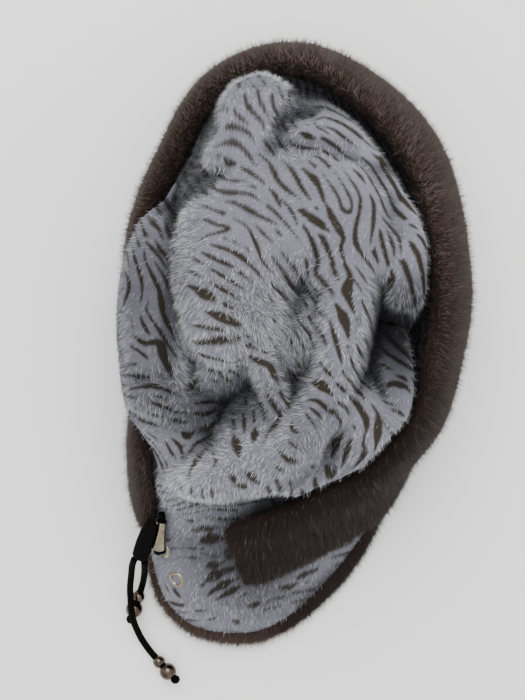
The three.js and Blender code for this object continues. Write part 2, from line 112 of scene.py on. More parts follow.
# Each fold: its place x and y, the turn of its long axis, half its length and width, the height of its
# top, its fall at those edges, and its slopes along and across
FOLD_TABLE = {
    "panel_front": [6, 62, 0, 35, 23, 101, 7, -0.02, 0],
    "panel_left": [-26, 38, 91, 34, 22, 102, 7, 0.03, 0.05],
    "panel_right": [17, 53, 10, 25, 21, 102, 7, -0.05, 0.02],
    "front_left": [-22, 98, 62, 22, 17, 95, 7, 0, 0.05],
    "front_right": [19, 90, -22, 27, 15, 93, 7, -0.1, 0.1],
    "left": [-64, 21, 94, 44, 15, 79, 7, 0, -0.3],
    "right": [45, 45, -80, 24, 11, 89, 7, 0, -0.1],
    "ridge_centre": [19, 11, 80, 35, 10, 98, 7, 0.1, 0],
    "valley": [-3, 8, 84, 25, 14, 88, 7, 0.15, 0],
    "ridge_hollow": [-13, -9, 110, 21, 6, 93, 7, 0, 0],
    "hollow_floor": [-30, -10, 20, 17, 11, 73, 6, 0, 0.3],
    "hollow_low": [-34, -27, 0, 14, 9, 60, 6, 0, 0],
    "fold_left": [-58, -21, -17, 25, 9, 75, 7, 0, 0],
    "left_low": [-55, -37, -30, 22, 15, 66, 7, 0, 0],
    "roll_high": [3, -27, 61, 25, 10, 92, 7, 0.05, 0],
    "roll_low": [-27, -50, 18, 27, 11, 84, 7, 0.12, 0],
    "between": [-19, -32, 50, 17, 12, 82, 7, 0.1, 0],
    "back_right": [30, -33, -55, 23, 15, 82, 7, 0, 0],
    "back_step": [14, -48, 38, 23, 12, 74, 7, 0, 0],
    "tube_right": [41, -12, 88, 20, 7, 80, 7, 0, 0],
    "bump": [-44, -60, 20, 15, 11, 74, 7, 0, 0],
    "back_slope": [-28, -68, 22, 34, 17, 62, 7, 0, 0.3],
}

# The floor between the folds, how a fold falls to its edge and how square its outline is, how widely
# folds run into each other, and over what share of the radius the top runs into the lip
CROWN_FLOOR = 46.0
FOLD_POWER = 3.8
FOLD_ROUNDNESS = 2.5
FOLD_BLEND = 1.4
LIP_BLEND = 0.07

# The wall's soft lumps: how far they stand out, and how long they are
WALL_SWELL, WALL_LUMP = 0.8, 30
# How the rows of the top crowd towards the lip, and how many rows beside the lip are evened how often
TOP_EASE = 1.3
LIP_SOFT_BELOW, LIP_SOFT_ABOVE, LIP_SOFT_ROUNDS = 8, 12, 12

# The band in each direction: how far its top is turned back, its lower and upper edge, its thickness,
# and how far its top leans in
BAND_COLUMNS = ["angle", "skew", "low_z", "top_z", "thick", "lean"]
BAND_TABLE = np.array([
    [-104, 11, 30, 60, 7, 2],
    [-80, 4, 25, 62, 9, 4],
    [-55, 0, 18, 66, 10, 4],
    [-20, 0, 12, 71, 11, 4],
    [20, 0, 12, 73, 12, 5],
    [60, 0, 12, 73, 12, 9],
    [80, 0, 12, 72, 12, 7],
    [95, 0, 12, 70, 12, 2],
    [130, 0, 12, 62, 11, -2],
    [180, 0, 12, 57, 10, -3],
    [212, 0, 14, 57, 9, 0],
    [222, 0, 16, 52, 8, 0],
    [230, 0, 20, 41, 6, 0],
], float)
BAND_START, BAND_STOP = BAND_TABLE[0, 0], BAND_TABLE[-1, 0]

# Each eyelet's direction in degrees and height, the cords' routes, and how far before the end of its
# tail each bead sits
EYELETS = {"eyelet_left": (236.1, 28.0), "eyelet_right": (242.3, 26.0)}
CORD_ROUTES = {
    "cord_loop": [
        (-56.8, -91.1, 22.5), (-59.7, -92.4, 25), (-61.8, -93.3, 26.9), (-63.9, -94.2, 28.8),
        (-65.6, -93.9, 32.2), (-65.1, -91.8, 35.4), (-64.1, -88.4, 37.4), (-62.9, -79.5, 41.6),
        (-62.5, -76.5, 43), (-62.6, -74, 44.9),
    ],
    "cord_long": [
        (-76.8, -98, 28.6), (-78.4, -102, 23), (-79.6, -108, 16.5), (-80.6, -115, 12),
        (-80.5, -121.3, 10.7), (-79.9, -127.5, 10.9), (-79.2, -131.5, 10), (-77.9, -136.6, 6.4),
        (-75.6, -142.5, 3), (-72, -148, 2.2), (-68.8, -151.6, 2.8), (-67, -153.6, 3.2),
        (-62.7, -158, 4.3), (-60.7, -160, 4.7),
    ],
    "cord_short": [
        (-72, -99.2, 28.6), (-72.6, -103, 22), (-73.6, -108.4, 12.8), (-75, -114, 6),
        (-76.2, -117.8, 4.2), (-77.3, -120.9, 4.1), (-79.4, -127, 4.2), (-80.3, -129.7, 4.2),
    ],
}
BEAD_PLACES = {"small": (BEAD_SMALL, 9.3), "large": (BEAD_LARGE, 2.8)}
# The braid: the fineness of the cord, how many plaits run round it, their pitch and how far they stand out
CORD_STEP, CORD_SIDES = 0.28, 32
CORD_PLAITS, CORD_PITCH, CORD_RELIEF = 8, 5.2, 0.11
WRAP_TOP = np.array([-66.4, -76.6, 49.0])
WRAP_FOOT = np.array([-74.5, -98.2, 29.4])

# Fineness of the skins
CROWN_COLUMNS = 480
WALL_ROWS = 44
TOP_ROWS = 104
INNER_WALL_ROWS = 8
INNER_TOP_ROWS = 26
BAND_STATIONS = 420
BAND_ROUND = 36
HEM_COLUMNS = 480

# How often the band's section is evened, how many rings at its ends get slimmer and by what share, and
# the size of the caps
BAND_SOFT_ROUNDS = 10
BAND_END_RINGS, BAND_END_SLIM, BAND_CAP = 7, 0.2, 0.9

# Fur: how many strands each piece has
CROWN_STRANDS = 168000
CROWN_PIECES = 3
BAND_STRANDS = 148000
HEM_STRANDS = 41000

# How strands stand, in degrees: the middle and the spread of their lift, and what is added to it for a
# long guard hair and where the crown's pile lies open. Then the ranges of the lengths of the short pile
# and of guard hairs, the range of the short pile's width at the root, and the guard hairs' width.
CROWN_LIFT, CROWN_LIFT_SPREAD, CROWN_GUARD_LIFT, CROWN_OPEN_LIFT = 36, 5, 10, 12
BAND_LIFT, BAND_LIFT_SPREAD, BAND_GUARD_LIFT = 34, 9, 12
HEM_LIFT, HEM_LIFT_SPREAD = 28, 15
CROWN_PILE, CROWN_GUARD, CROWN_WIDTHS, CROWN_GUARD_WIDTH = (0.75, 1.15), (1.8, 3.8), (0.28, 0.42), 0.20
BAND_PILE, BAND_GUARD, BAND_WIDTHS, BAND_GUARD_WIDTH = (2.2, 3.3), (4.0, 6.8), (0.22, 0.34), 0.17
HEM_PILE, HEM_GUARD, HEM_WIDTHS, HEM_GUARD_WIDTH = (2.2, 5.0), (4.4, 7.6), (0.20, 0.30), 0.15

# The way that the pile is combed: in the crown its direction in degrees and how far that swings, in the
# band and the hem what is added to the way out
LIE_TURN, LIE_SWING = -108, 22
BAND_COMB, HEM_COMB = np.array([0.0, -0.25, -0.5]), np.array([0, -0.10, -0.22])

# The share of guard hairs. In the crown it is more where the pile lies open and on steep edges, above
# all on high ones, and less on stripes and at the back.
BAND_GUARD_SHARE, HEM_GUARD_SHARE = 0.17, 0.25
CROWN_GUARD_SHARE, OPEN_GUARD_SHARE = 0.005, 0.22
STEEP_GUARD_SHARE, RIDGE_GUARD_SHARE, RIDGE_Z = 0.012, 0.088, 56
STRIPE_GUARD_LESS, BACK_GUARD_LESS = 0.6, 0.4

# How deep strands are rooted, and how clear of the floor they stay
ROOT_DEPTH = 0.25
FLOOR_CLEAR = 0.3

# Colours, as they are under white light, but for the band's pale tips, which are a painted sheen
GREY = (0.262, 0.259, 0.302)
GREY_DEEP = (0.11, 0.11, 0.125)
STRIPE = (0.031, 0.024, 0.017)
SILVER = (0.95, 0.95, 0.95)
BAND_ROOT = (0.014, 0.008, 0.006)
BAND_TIP = (0.078, 0.050, 0.041)
# A painted sheen on the band's tips
BAND_PAINTED_SHEEN = (0.21, 0.165, 0.145)
HEM_ROOT = (0.016, 0.009, 0.007)
HEM_TIP = (0.085, 0.054, 0.043)
FLOOR = (0.975, 0.98, 0.95)
STUDIO = (0.97, 0.985, 1.0, 1)
STUDIO_STRENGTH = 1.33

# Where round the hat, in degrees, the band gets painted shade, and where a painted shine and how much more
BAND_SHADED, BAND_GLOWING, BAND_GLOW = (-120, 10), (15, 125), 0.9

# The grey pile's tones at its roots and tips, and how much darker both are where it lies open; the darker
# roots are partly painted shade between the strands
ROOT_TONE, ROOT_OPEN_LESS = 0.80, 0.58
TIP_TONE, TIP_OPEN_LESS = 1.08, 0.10

# Painted shade: what is left of the fur's colour at the bottom of the deepest hollow
DEEPEST = 0.14

# How much sky a place sees sets the painted shade in hollows. It is read from a map of heights: half the
# map's side, how far the band stands out and how high it is taken to be where it is open, the sides looked
# to, and the steps away
MAP_HALF, BAND_REACH, BACK_HEM_Z = 170.0, 22, 20.0
SKY_TURNS, SKY_STEPS = 16, (2, 3, 5, 7, 10, 14, 19, 26)

# Painted shade and painted light in the pile's colours, darker in hollows, creases and under overhanging
# folds and
# lighter on some lobes: place, turn of the long axis, half sizes, and the share of the brightness that is
# lost or won
SHADE_TABLE = {
    "left": [-67, 24, 94, 46, 17, -0.46],
    "left_foot": [-62, -20, -20, 22, 10, -0.25],
    "under_panel": [-56, 18, 88, 44, 4.5, -0.55],
    "back": [-28, -94, -60, 38, 26, -0.62],
    "back_light": [-46, -66, 20, 14, 16, 0.44],
    "corner_wall": [-45, -78, 10, 16, 6, 0.28],
    "hollow_left": [-33, -24, 8, 24, 11, -0.80],
    "hollow_right": [46, 10, 80, 23, 13, -0.92],
    "tube": [44, -8, 85, 18, 9, -0.3],
    "hem_shadow": [11, -121, 50, 30, 7, -0.93],
    "crevice_right": [56, 30, 85, 44, 4, -0.40],
    "valley": [-2, 6, 84, 22, 8, -0.25],
    "front_seam": [-6, 98, 52, 15, 3.5, -0.5],
    "front_rim": [-17, 120, 0, 20, 5, -0.22],
    "front_rim_left": [-34, 110, 60, 12, 4, -0.2],
    "roll": [6, -30, 60, 20, 10, -0.25],
    "right_valley": [16, -42, 66, 12, 4.5, -0.6],
    "roll_foot": [2, -54, 40, 9, 4, -0.45],
    "front_left": [-20, 102, 60, 24, 16, 0.13],
    "front_right": [30, 84, -22, 28, 14, 0.2],
    "right_lobe": [48, 50, 80, 20, 8, 0.11],
}

# Stripes, by the places in the photograph's frame that each runs through, grouped by fold. The width
# is in millimetres.
THIN, PLAIN, THICK, BOLD, EYE = 1.3, 1.8, 2.5, 3.3, 4.4
STRIPES = {
    "front_left": [
        (THICK, [(243, 92), (247, 104), (253, 113), (261, 121), (264, 132)]),
        (PLAIN, [(250, 82), (257, 90), (260, 101), (265, 111), (269, 119)]),
        (THICK, [(272, 93), (273, 104), (276, 113), (275, 121)]), (PLAIN, [(278, 86), (281, 94), (282, 101)]),
        (PLAIN, [(293, 91), (289, 98), (286, 106)]), (PLAIN, [(233, 108), (238, 116), (250, 126)]),
        (THICK, [(223, 129), (233, 127), (243, 130), (251, 136), (255, 144)]),
        (THIN, [(208, 126), (207, 133)]),
    ],
    "panel_front": [
        (THICK, [(213, 148), (223, 144), (234, 143), (242, 148), (249, 156), (258, 167)]),
        (BOLD, [(224, 157), (229, 163), (237, 165)]),
        (PLAIN, [(216, 165), (219, 175), (227, 180), (240, 181), (250, 181)]),
        (THICK, [(211, 179), (214, 188), (224, 192), (237, 193), (251, 195), (262, 203)]),
        (PLAIN, [(201, 186), (205, 193), (214, 198)]), (PLAIN, [(224, 202), (235, 203), (247, 208)]),
        (THICK, [(257, 153), (266, 160), (272, 168), (277, 179), (286, 189), (301, 200)]),
        (THICK, [(269, 188), (276, 197), (281, 208)]), (PLAIN, [(169, 183), (174, 192), (176, 202)]),
    ],
    "front_right": [
        (BOLD, [(298, 132), (306, 135), (316, 139)]),
        (PLAIN, [(289, 139), (294, 145), (304, 148), (318, 149)]),
        (PLAIN, [(309, 121), (322, 118), (336, 121), (353, 131), (378, 152)]),
        (PLAIN, [(323, 126), (334, 130), (345, 138), (358, 148)]),
        (THIN, [(312, 121), (319, 128), (330, 135)]),
    ],
    "panel": [
        (THICK, [(281, 159), (290, 168), (297, 179), (303, 190), (313, 203)]),
        (BOLD, [(301, 168), (311, 176), (318, 185), (325, 205)]),
        (PLAIN, [(325, 203), (333, 224), (342, 239)]),
        (PLAIN, [(280, 198), (291, 211), (298, 226)]),
        (EYE, [(297, 208), (313, 219), (330, 232)]),
        (PLAIN, [(320, 170), (337, 195), (342, 208), (350, 212), (350, 198), (334, 170)]),
        (PLAIN, [(342, 168), (360, 198), (353, 234)]), (PLAIN, [(351, 167), (359, 175), (366, 184)]),
        (THICK, [(369, 192), (374, 209), (370, 246)]),
        (THICK, [(325, 202), (334, 217), (343, 237), (341, 249), (347, 269)]),
        (EYE, [(343, 262), (350, 276), (347, 292), (355, 314)]),
        (THIN, [(350, 275), (357, 284), (363, 294)]), (THIN, [(353, 264), (361, 274), (368, 285)]),
        (THICK, [(362, 202), (355, 232), (358, 248), (369, 264), (376, 275)]),
        (PLAIN, [(386, 228), (393, 246), (394, 257)]), (PLAIN, [(380, 215), (396, 234), (402, 255)]),
        (THICK, [(392, 269), (391, 280), (388, 290)]), (THIN, [(407, 224), (413, 226), (419, 230)]),
        (THICK, [(227, 202), (243, 207), (261, 217), (279, 225)]),
        (PLAIN, [(192, 223), (201, 219), (215, 224), (229, 229), (207, 236), (194, 244)]),
        (PLAIN, [(229, 217), (246, 226), (255, 242), (264, 263), (277, 276)]),
        (THICK, [(208, 244), (235, 253), (253, 268), (266, 283)]),
        (THICK, [(200, 252), (215, 259), (235, 268)]), (THIN, [(191, 257), (199, 262), (207, 265)]),
        (THIN, [(186, 268), (195, 274), (203, 278)]), (EYE, [(187, 285), (203, 293), (218, 302)]),
        (EYE, [(203, 310), (223, 318), (242, 325)]), (PLAIN, [(188, 324), (215, 329), (226, 331)]),
        (THICK, [(188, 340), (206, 342), (228, 340), (241, 337), (253, 338)]),
        (BOLD, [(248, 355), (258, 361), (268, 365), (274, 372), (279, 381)]),
        (THICK, [(245, 346), (251, 346), (257, 349)]), (EYE, [(335, 303), (345, 322), (349, 341)]),
        (THICK, [(329, 319), (334, 335), (342, 365)]), (PLAIN, [(319, 361), (327, 371), (334, 379)]),
        (PLAIN, [(358, 361), (364, 370), (369, 379)]), (PLAIN, [(302, 298), (306, 304), (309, 310)]),
        (PLAIN, [(290, 338), (292, 344), (293, 349)]),
    ],
    "left": [
        (THICK, [(146, 215), (157, 227), (163, 240)]), (THICK, [(165, 217), (171, 237), (175, 254)]),
        (PLAIN, [(136, 226), (154, 239), (169, 262)]), (PLAIN, [(145, 241), (157, 254), (167, 269)]),
        (THICK, [(144, 248), (146, 262), (157, 285), (161, 300), (164, 316), (176, 343)]),
        (PLAIN, [(154, 260), (169, 286), (175, 307)]),
        (PLAIN, [(132, 240), (136, 262), (142, 286), (140, 306)]),
        (THICK, [(124, 268), (129, 287), (121, 317)]),
        (PLAIN, [(149, 299), (147, 311), (161, 333), (178, 360)]),
        (EYE, [(133, 335), (144, 343), (159, 343), (164, 358), (173, 379)]),
        (THIN, [(118, 333), (117, 340), (118, 347)]), (PLAIN, [(123, 366), (131, 365), (138, 363)]),
    ],
    "back_left": [
        (THICK, [(129, 389), (152, 386), (169, 391), (183, 398)]),
        (PLAIN, [(142, 400), (165, 407), (175, 412), (190, 413)]),
        (THICK, [(167, 419), (177, 421), (188, 423)]),
        (BOLD, [(183, 390), (191, 385), (198, 378)]), (BOLD, [(181, 432), (187, 436), (194, 432)]),
        (BOLD, [(200, 430), (208, 427), (217, 421)]), (PLAIN, [(165, 441), (171, 452), (177, 460)]),
        (THICK, [(213, 443), (205, 451), (196, 461), (191, 470), (189, 480)]),
        (PLAIN, [(213, 451), (216, 461), (213, 468)]), (EYE, [(233, 434), (236, 444), (240, 458)]),
        (BOLD, [(256, 427), (253, 443)]), (THICK, [(269, 371), (275, 377), (279, 386)]),
        (THICK, [(265, 383), (270, 400), (279, 413), (279, 420), (269, 433), (262, 447)]),
        (PLAIN, [(246, 396), (246, 406)]), (BOLD, [(231, 473), (235, 483)]), (BOLD, [(235, 484), (247, 487)]),
        (BOLD, [(245, 472), (253, 478), (260, 485)]), (PLAIN, [(212, 486), (214, 498)]),
    ],
    "back_right": [
        (BOLD, [(348, 396), (357, 404), (365, 418), (366, 434)]),
        (PLAIN, [(366, 430), (363, 443), (365, 452), (358, 463), (351, 469)]),
        (THICK, [(370, 402), (378, 415), (378, 430), (374, 452)]),
        (THICK, [(386, 418), (391, 432), (389, 443)]), (PLAIN, [(396, 418), (402, 428)]),
        (THICK, [(386, 388), (392, 384), (400, 385), (407, 388), (411, 394)]),
        (PLAIN, [(395, 375), (403, 378), (408, 382)]), (PLAIN, [(390, 410), (398, 412), (405, 417)]),
        (THIN, [(382, 402), (391, 404), (400, 406)]),
        (PLAIN, [(334, 402), (341, 404), (347, 409), (349, 416)]),
        (THICK, [(305, 400), (317, 401), (328, 410), (338, 416), (339, 430)]),
        (EYE, [(311, 383), (321, 385), (333, 396)]), (THIN, [(304, 410), (311, 421), (319, 431)]),
        (THICK, [(292, 422), (292, 428), (299, 434)]), (PLAIN, [(288, 441), (294, 446), (302, 450)]),
        (THICK, [(278, 448), (283, 456), (290, 460), (298, 462)]),
        (PLAIN, [(275, 462), (278, 468), (285, 473)]), (THICK, [(343, 432), (337, 442), (331, 460)]),
        (BOLD, [(326, 465), (331, 479)]), (THICK, [(331, 478), (336, 468)]),
        (BOLD, [(308, 467), (314, 477), (317, 490)]),
        (PLAIN, [(353, 436), (348, 450), (343, 463), (341, 470)]), (THIN, [(353, 424), (355, 430)]),
    ],
    "back": [
        (PLAIN, [(190, 531), (200, 529), (210, 528), (221, 528)]), (THIN, [(184, 520), (195, 521)]),
        (BOLD, [(199, 542), (208, 539), (224, 538)]), (THIN, [(200, 553), (212, 556), (221, 557)]),
        (BOLD, [(226, 550), (231, 558)]), (THICK, [(206, 567), (213, 565), (223, 562)]),
        (BOLD, [(206, 582), (214, 576), (225, 571), (238, 566)]), (THIN, [(200, 586), (205, 584)]),
        (THICK, [(207, 596), (217, 588), (227, 583), (240, 577)]),
        (THICK, [(215, 600), (223, 596), (232, 590), (243, 586)]), (THIN, [(239, 597), (248, 592)]),
        (PLAIN, [(246, 607), (253, 605), (262, 602)]), (PLAIN, [(277, 588), (289, 587), (300, 583)]),
        (PLAIN, [(295, 579), (306, 574), (319, 568)]),
        (PLAIN, [(160, 592), (168, 601), (175, 604), (186, 605)]), (PLAIN, [(172, 587), (181, 598)]),
        (THIN, [(165, 584), (170, 594)]), (THIN, [(195, 611), (207, 610)]),
        (THIN, [(208, 620), (216, 618)]), (THIN, [(232, 619), (241, 625)]),
    ],
}
# At the back the strokes are bolder
BACK_Y, BACK_BOLDER = -82, 1.9
# The map of the stripes: the size of its cells and how many it has each way
STRIPE_CELL = 0.46
STRIPE_CELLS = 720
# Stripes between the drawn ones grow in rounds, from filters of one spacing in so many directions
STRIPE_SPACING, STRIPE_SPREAD = 4.8, 0.30
STRIPE_TURNS, STRIPE_TURN_WIDTH = 12, 0.22
STRIPE_ROUNDS, STRIPE_GAIN, STRIPE_PULL = 16, 3.2, 1.4
TURN_CELLS, TURN_EVERY = 72, 6
# The level that a grown stripe has to pass: its mean, lumps (amount, length, seed), and what the two
# steps to the back and the open pile add to it
LEVEL, LEVEL_LUMPS = 0.36, [(0.26, 26, 31), (0.06, 9, 32)]
LEVEL_BACK, LEVEL_FAR_BACK, LEVEL_OPEN = 0.10, 0.45, 0.8

# Where the pile lies open and shows silver: place, turn of the long axis, half sizes, strength
OPENED_TABLE = {
    "panel_middle": [-16, 14, -35, 28, 17, 0.95],
    "panel_edge": [-50, 20, 85, 42, 3.5, 0.8],
    "ridge_centre": [22, 2, 78, 26, 6, 0.35],
    "ridge_hollow": [-14, -8, -60, 24, 8, 0.6],
    "roll": [-24, -48, 25, 42, 10, 0.45],
    "back_right": [20, -44, 40, 24, 7, 0.4],
    "tuft": [-50, -12, 20, 9, 6, 0.95],
    "front_seam": [-22, 112, 20, 24, 4, 0.4],
    "right_edge": [42, 24, -10, 12, 4, 0.7],
    "right_rim": [38, -50, 45, 24, 3.5, 0.45],
    "back": [-36, -96, -50, 44, 26, 0.12],
    "hem_edge": [-10, -122, 0, 40, 8, 0.5],
    "left_edge": [-80, 8, 90, 46, 4, 0.4],
    "left_foot": [-66, -22, 10, 14, 7, 0.5],
    "back_light": [-46, -70, 20, 16, 14, 0.5],
}

# Sharp creases between folds, through places in the photograph's frame: height there, depth and width
CREASES = [
    (88, 6.0, 3.6, [(304, 98), (287, 121), (270, 141)]),
    (90, 3.0, 4.6, [(262, 143), (300, 148), (340, 150), (374, 160)]),
    (88, 5.0, 3.2, [(396, 186), (394, 214), (399, 250)]),
    (92, 4.5, 4.0, [(322, 232), (316, 262), (300, 300), (292, 330)]),
    (88, 4.0, 3.4, [(296, 340), (304, 372), (296, 402), (284, 424)]),
    (80, 4.5, 3.2, [(330, 398), (318, 428), (300, 452), (282, 474)]),
    (75, 3.5, 3.0, [(352, 432), (338, 452), (318, 474), (300, 488)]),
    (70, 4.0, 3.2, [(128, 378), (150, 379), (176, 372)]),
    (72, 3.5, 3.2, [(232, 404), (222, 432), (206, 458)]),
    (60, 3.0, 3.4, [(176, 470), (190, 500), (226, 512)]),
]

# Edges of folds that hang over what is beside them: the way and how far they are drawn out, the height
# where that begins, how wide it reaches, and places in the photograph's frame along the edge
OVERHANGS = [
    (-5.5, 0.0, 90, 7.0, [(184, 176), (177, 210), (175, 260), (177, 310), (182, 345)]),
    (-1.5, -5.0, 86, 7.0, [(190, 350), (215, 352), (245, 352)]),
    (0.5, -4.5, 80, 6.0, [(384, 292), (404, 300), (424, 292)]),
    (2.5, -3.5, 78, 6.0, [(345, 405), (322, 440), (296, 466), (262, 486)]),
    (-4.0, -1.0, 88, 5.0, [(324, 262), (318, 290), (306, 330)]),
]

# The share of a push that its foot is drawn in
FOOT_SHARE = 0.35

# The puffed edge of the top all round: its height, and how far what is high of it is drawn out over the
# band
PUSH_FROM_Z = 52
EDGE_COLUMNS = ["angle", "height", "push"]
EDGE_TABLE = np.array([
    [-112, 60, 0], [-100, 66, 5], [-88, 71, 8], [-74, 74, 8], [-55, 76, 6], [-43, 77, 7], [-30, 77, 8],
    [-10, 68, 5], [3, 50, 2], [16, 50, 2], [26, 78, 3], [40, 88, 5], [50, 86, 3], [57, 64, -1], [64, 83, -2],
    [75, 87, -2], [80, 88, -2], [84, 87, -2], [87, 82, -4], [90, 80, -4], [93, 84, 2], [98, 88, 6],
    [104, 88, 5], [107, 84, 2], [110, 79, -4], [116, 84, -5], [124, 84, -4], [131, 72, -4], [140, 62, 2],
    [150, 62, 2], [180, 66, 0], [210, 60, 0], [228, 59, 0], [245, 58, 0],
], float)


def smooth(t):
    x = np.clip(t, 0, 1)
    return x * x * (3 - 2 * x)


def mix(a, b, t):
    return a + (b - a) * t


def unit(v):
    return v / np.maximum(np.linalg.norm(v, axis=-1, keepdims=True), 1e-9)


def dot(a, b):
    return (a * b).sum(axis=1, keepdims=True)


def through(x, v, at):
    """A smooth curve through four values v at the places x, read between the second and the third."""
    span = x[2] - x[1]
    slope_in = (v[2] - v[0]) / (x[2] - x[0])
    slope_out = (v[3] - v[1]) / (x[3] - x[1])
    t = (at - x[1]) / span
    t2 = t * t
    t3 = t2 * t
    return ((2 * t3 - 3 * t2 + 1) * v[1] + (t3 - 2 * t2 + t) * span * slope_in
            + (3 * t2 - 2 * t3) * v[2] + (t3 - t2) * span * slope_out)


def wall_at(angle, column):
    a = np.mod(angle, 360)
    places = WALL_TABLE[:, 0]
    n = len(places)
    i = np.searchsorted(places, a, side="right") - 1
    near = [i - 1, i, i + 1, i + 2]
    values = WALL_TABLE[:, WALL_COLUMNS.index(column)]
    return through([places[k % n] + 360 * (k // n) for k in near], [values[k % n] for k in near], a)


def band_at(angle, column):
    places = BAND_TABLE[:, 0]
    n = len(places)
    i = np.clip(np.searchsorted(places, angle, side="left") - 1, 0, n - 2)
    near = [np.clip(i + k, 0, n - 1) for k in (-1, 0, 1, 2)]
    x = [places[k] for k in near]
    x[0] = np.where(i == 0, x[0] - 10, x[0])
    x[3] = np.where(i == n - 2, x[3] + 10, x[3])
    values = BAND_TABLE[:, BAND_COLUMNS.index(column)]
    return through(x, [values[k] for k in near], angle)


def wall_point(angle, t):
    """The wall's outer face: t is 0 on the hem, 1 at the knee, 2 at the rim and 3 at the lip."""
    angle, t = np.broadcast_arrays(np.asarray(angle, float), np.asarray(t, float))
    rim, rim_z = wall_at(angle, "rim"), wall_at(angle, "rim_z")
    radii = [wall_at(angle, "foot"), wall_at(angle, "knee"), rim, rim + wall_at(angle, "out")]
    heights = [np.full_like(rim, HEM_HEIGHT + GAP), wall_at(angle, "knee_z"), rim_z,
               rim_z + wall_at(angle, "up")]
    i = np.clip(np.floor(t).astype(int), 0, 2)

    def read(v):
        ends = np.stack([2 * v[0] - v[1], *v, 2 * v[3] - v[2]])
        near = [np.take_along_axis(ends, (i + k)[None], 0)[0] for k in range(4)]
        return through([i - 1, i, i + 1, i + 2], near, t)

    return read(radii), read(heights)


def lip_at(angle):
    return wall_point(angle, 3.0)


def past_start(angle):
    """Angles as the band counts them, from its start at the back right round to its stop."""
    return np.where(angle < BAND_START, angle + 360, angle)


def wall_radius(angle, height):
    """The wall's outer radius at a height, and how it changes with height."""
    angle, height = np.broadcast_arrays(np.asarray(angle, float), np.asarray(height, float))
    steps = 24
    low_r, low_z = wall_point(angle, 0.0)
    done = np.zeros(angle.shape, bool)
    radius, slope = low_r.copy(), np.zeros_like(low_r)
    for i in range(1, steps + 1):
        r, z = wall_point(angle, 3 * i / steps)
        now = ~done & ((z >= height) | (i == steps))
        run = (r - low_r) / np.maximum(z - low_z, 0.2)
        at = np.minimum(height, np.maximum(z, low_z))
        radius = np.where(now, low_r + run * (at - low_z), radius)
        slope = np.where(now, run, slope)
        done |= now
        rises = ~done & (z > low_z)
        low_r, low_z = np.where(rises, r, low_r), np.where(rises, z, low_z)
    return radius, slope


def photo_plane(u, v, z):
    """The place at height z that shows at a pixel of the photograph."""
    reach = (CAMERA_AT[2] - z) / FOCAL
    return (CAMERA_AT[0] + (u - FRAME_WIDE / 2) * reach, CAMERA_AT[1] - (v - FRAME_HIGH / 2) * reach)


def waves(x, y, length, seed):
    """A soft random field of about -1 to 1 whose lumps are about half of length apart."""
    rng = np.random.default_rng(seed)
    total = np.zeros_like(x)
    for _ in range(9):
        turn, k = rng.uniform(0, 2 * math.pi), 2 * math.pi / (length * rng.uniform(0.7, 1.4))
        total += np.sin(k * (x * math.cos(turn) + y * math.sin(turn)) + rng.uniform(0, 2 * math.pi))
    return total / 3


def near_line(x, y, points):
    """The distance from each place to a line through points, and how far along the line, 0 to 1."""
    points = np.array(points, float)
    sizes = np.linalg.norm(np.diff(points, axis=0), axis=1)
    best = np.full(x.shape, 1e9)
    along = np.zeros(x.shape)
    start = 0.0
    for a, b, size in zip(points[:-1], points[1:], sizes):
        t = np.clip(((x - a[0]) * (b[0] - a[0]) + (y - a[1]) * (b[1] - a[1])) / size ** 2, 0, 1)
        d = np.hypot(x - a[0] - t * (b[0] - a[0]), y - a[1] - t * (b[1] - a[1]))
        along = np.where(d < best, (start + t * size) / sizes.sum(), along)
        best = np.minimum(best, d)
        start += size
    return best, along


def turned(x, y, place_x, place_y, turn):
    """Distances from a place along an axis turned by so many degrees, and across it."""
    turn = math.radians(turn)
    dx, dy = x - place_x, y - place_y
    return dx * math.cos(turn) + dy * math.sin(turn), dy * math.cos(turn) - dx * math.sin(turn)


def polar(x, y):
    return np.degrees(np.arctan2(y, x)), np.hypot(x, y)


def ring_of(r, a, z):
    """Points at a distance from the middle, in a direction in radians, at a height."""
    return np.stack(np.broadcast_arrays(r * np.cos(a), r * np.sin(a), z), axis=-1)


def crease_depth(x, y):
    depth = np.zeros_like(x)
    for height, deep, wide, places in CREASES:
        line = [photo_plane(u, v, height) for u, v in places]
        d, along = near_line(x, y, line)
        depth += deep * np.exp(-(d / wide) ** 2) * smooth(4 * along) * smooth(4 * (1 - along))
    return depth


def fold_height(x, y, fold):
    fx, fy, turn, long, wide, top, fall, rise, lean = fold
    along, across = turned(x, y, fx, fy, turn)
    reach = np.abs(along / long) ** FOLD_ROUNDNESS + np.abs(across / wide) ** FOLD_ROUNDNESS
    reach = np.minimum(reach, 40)
    return top + rise * along + lean * across - fall * reach ** (FOLD_POWER / FOLD_ROUNDNESS)


def edge_at(angle, column):
    return np.interp(angle, EDGE_TABLE[:, 0], EDGE_TABLE[:, EDGE_COLUMNS.index(column)], period=360)


def edge_height(x, y):
    """The puffed edge that runs round the top, close to the lip."""
    angle, r = polar(x, y)
    lip_r, _ = lip_at(angle)
    off = np.abs((r / lip_r - 0.85) / 0.10)
    return edge_at(angle, "height") - 8 * np.minimum(off, 6) ** 2.4


def crown_height(x, y):
    """The crown's top: the puffed folds and the floor between them, with creases and soft lumps."""
    heights = [np.full_like(x, CROWN_FLOOR)] + [fold_height(x, y, f) for f in FOLD_TABLE.values()]
    heights.append(edge_height(x, y))
    heights = np.stack(heights)
    most = heights.max(axis=0)
    z = most + FOLD_BLEND * np.log(np.exp((heights - most) / FOLD_BLEND).sum(axis=0))
    lumps = 0.9 * waves(x, y, 34, 5) + 0.5 * waves(x, y, 15, 6)
    return z + lumps - crease_depth(x, y)


def top_height(angle, r):
    lip_r, lip_z = lip_at(angle)
    a = np.radians(angle)
    inside = smooth((1 - r / lip_r) / LIP_BLEND)
    return mix(lip_z, crown_height(r * np.cos(a), r * np.sin(a)), inside)


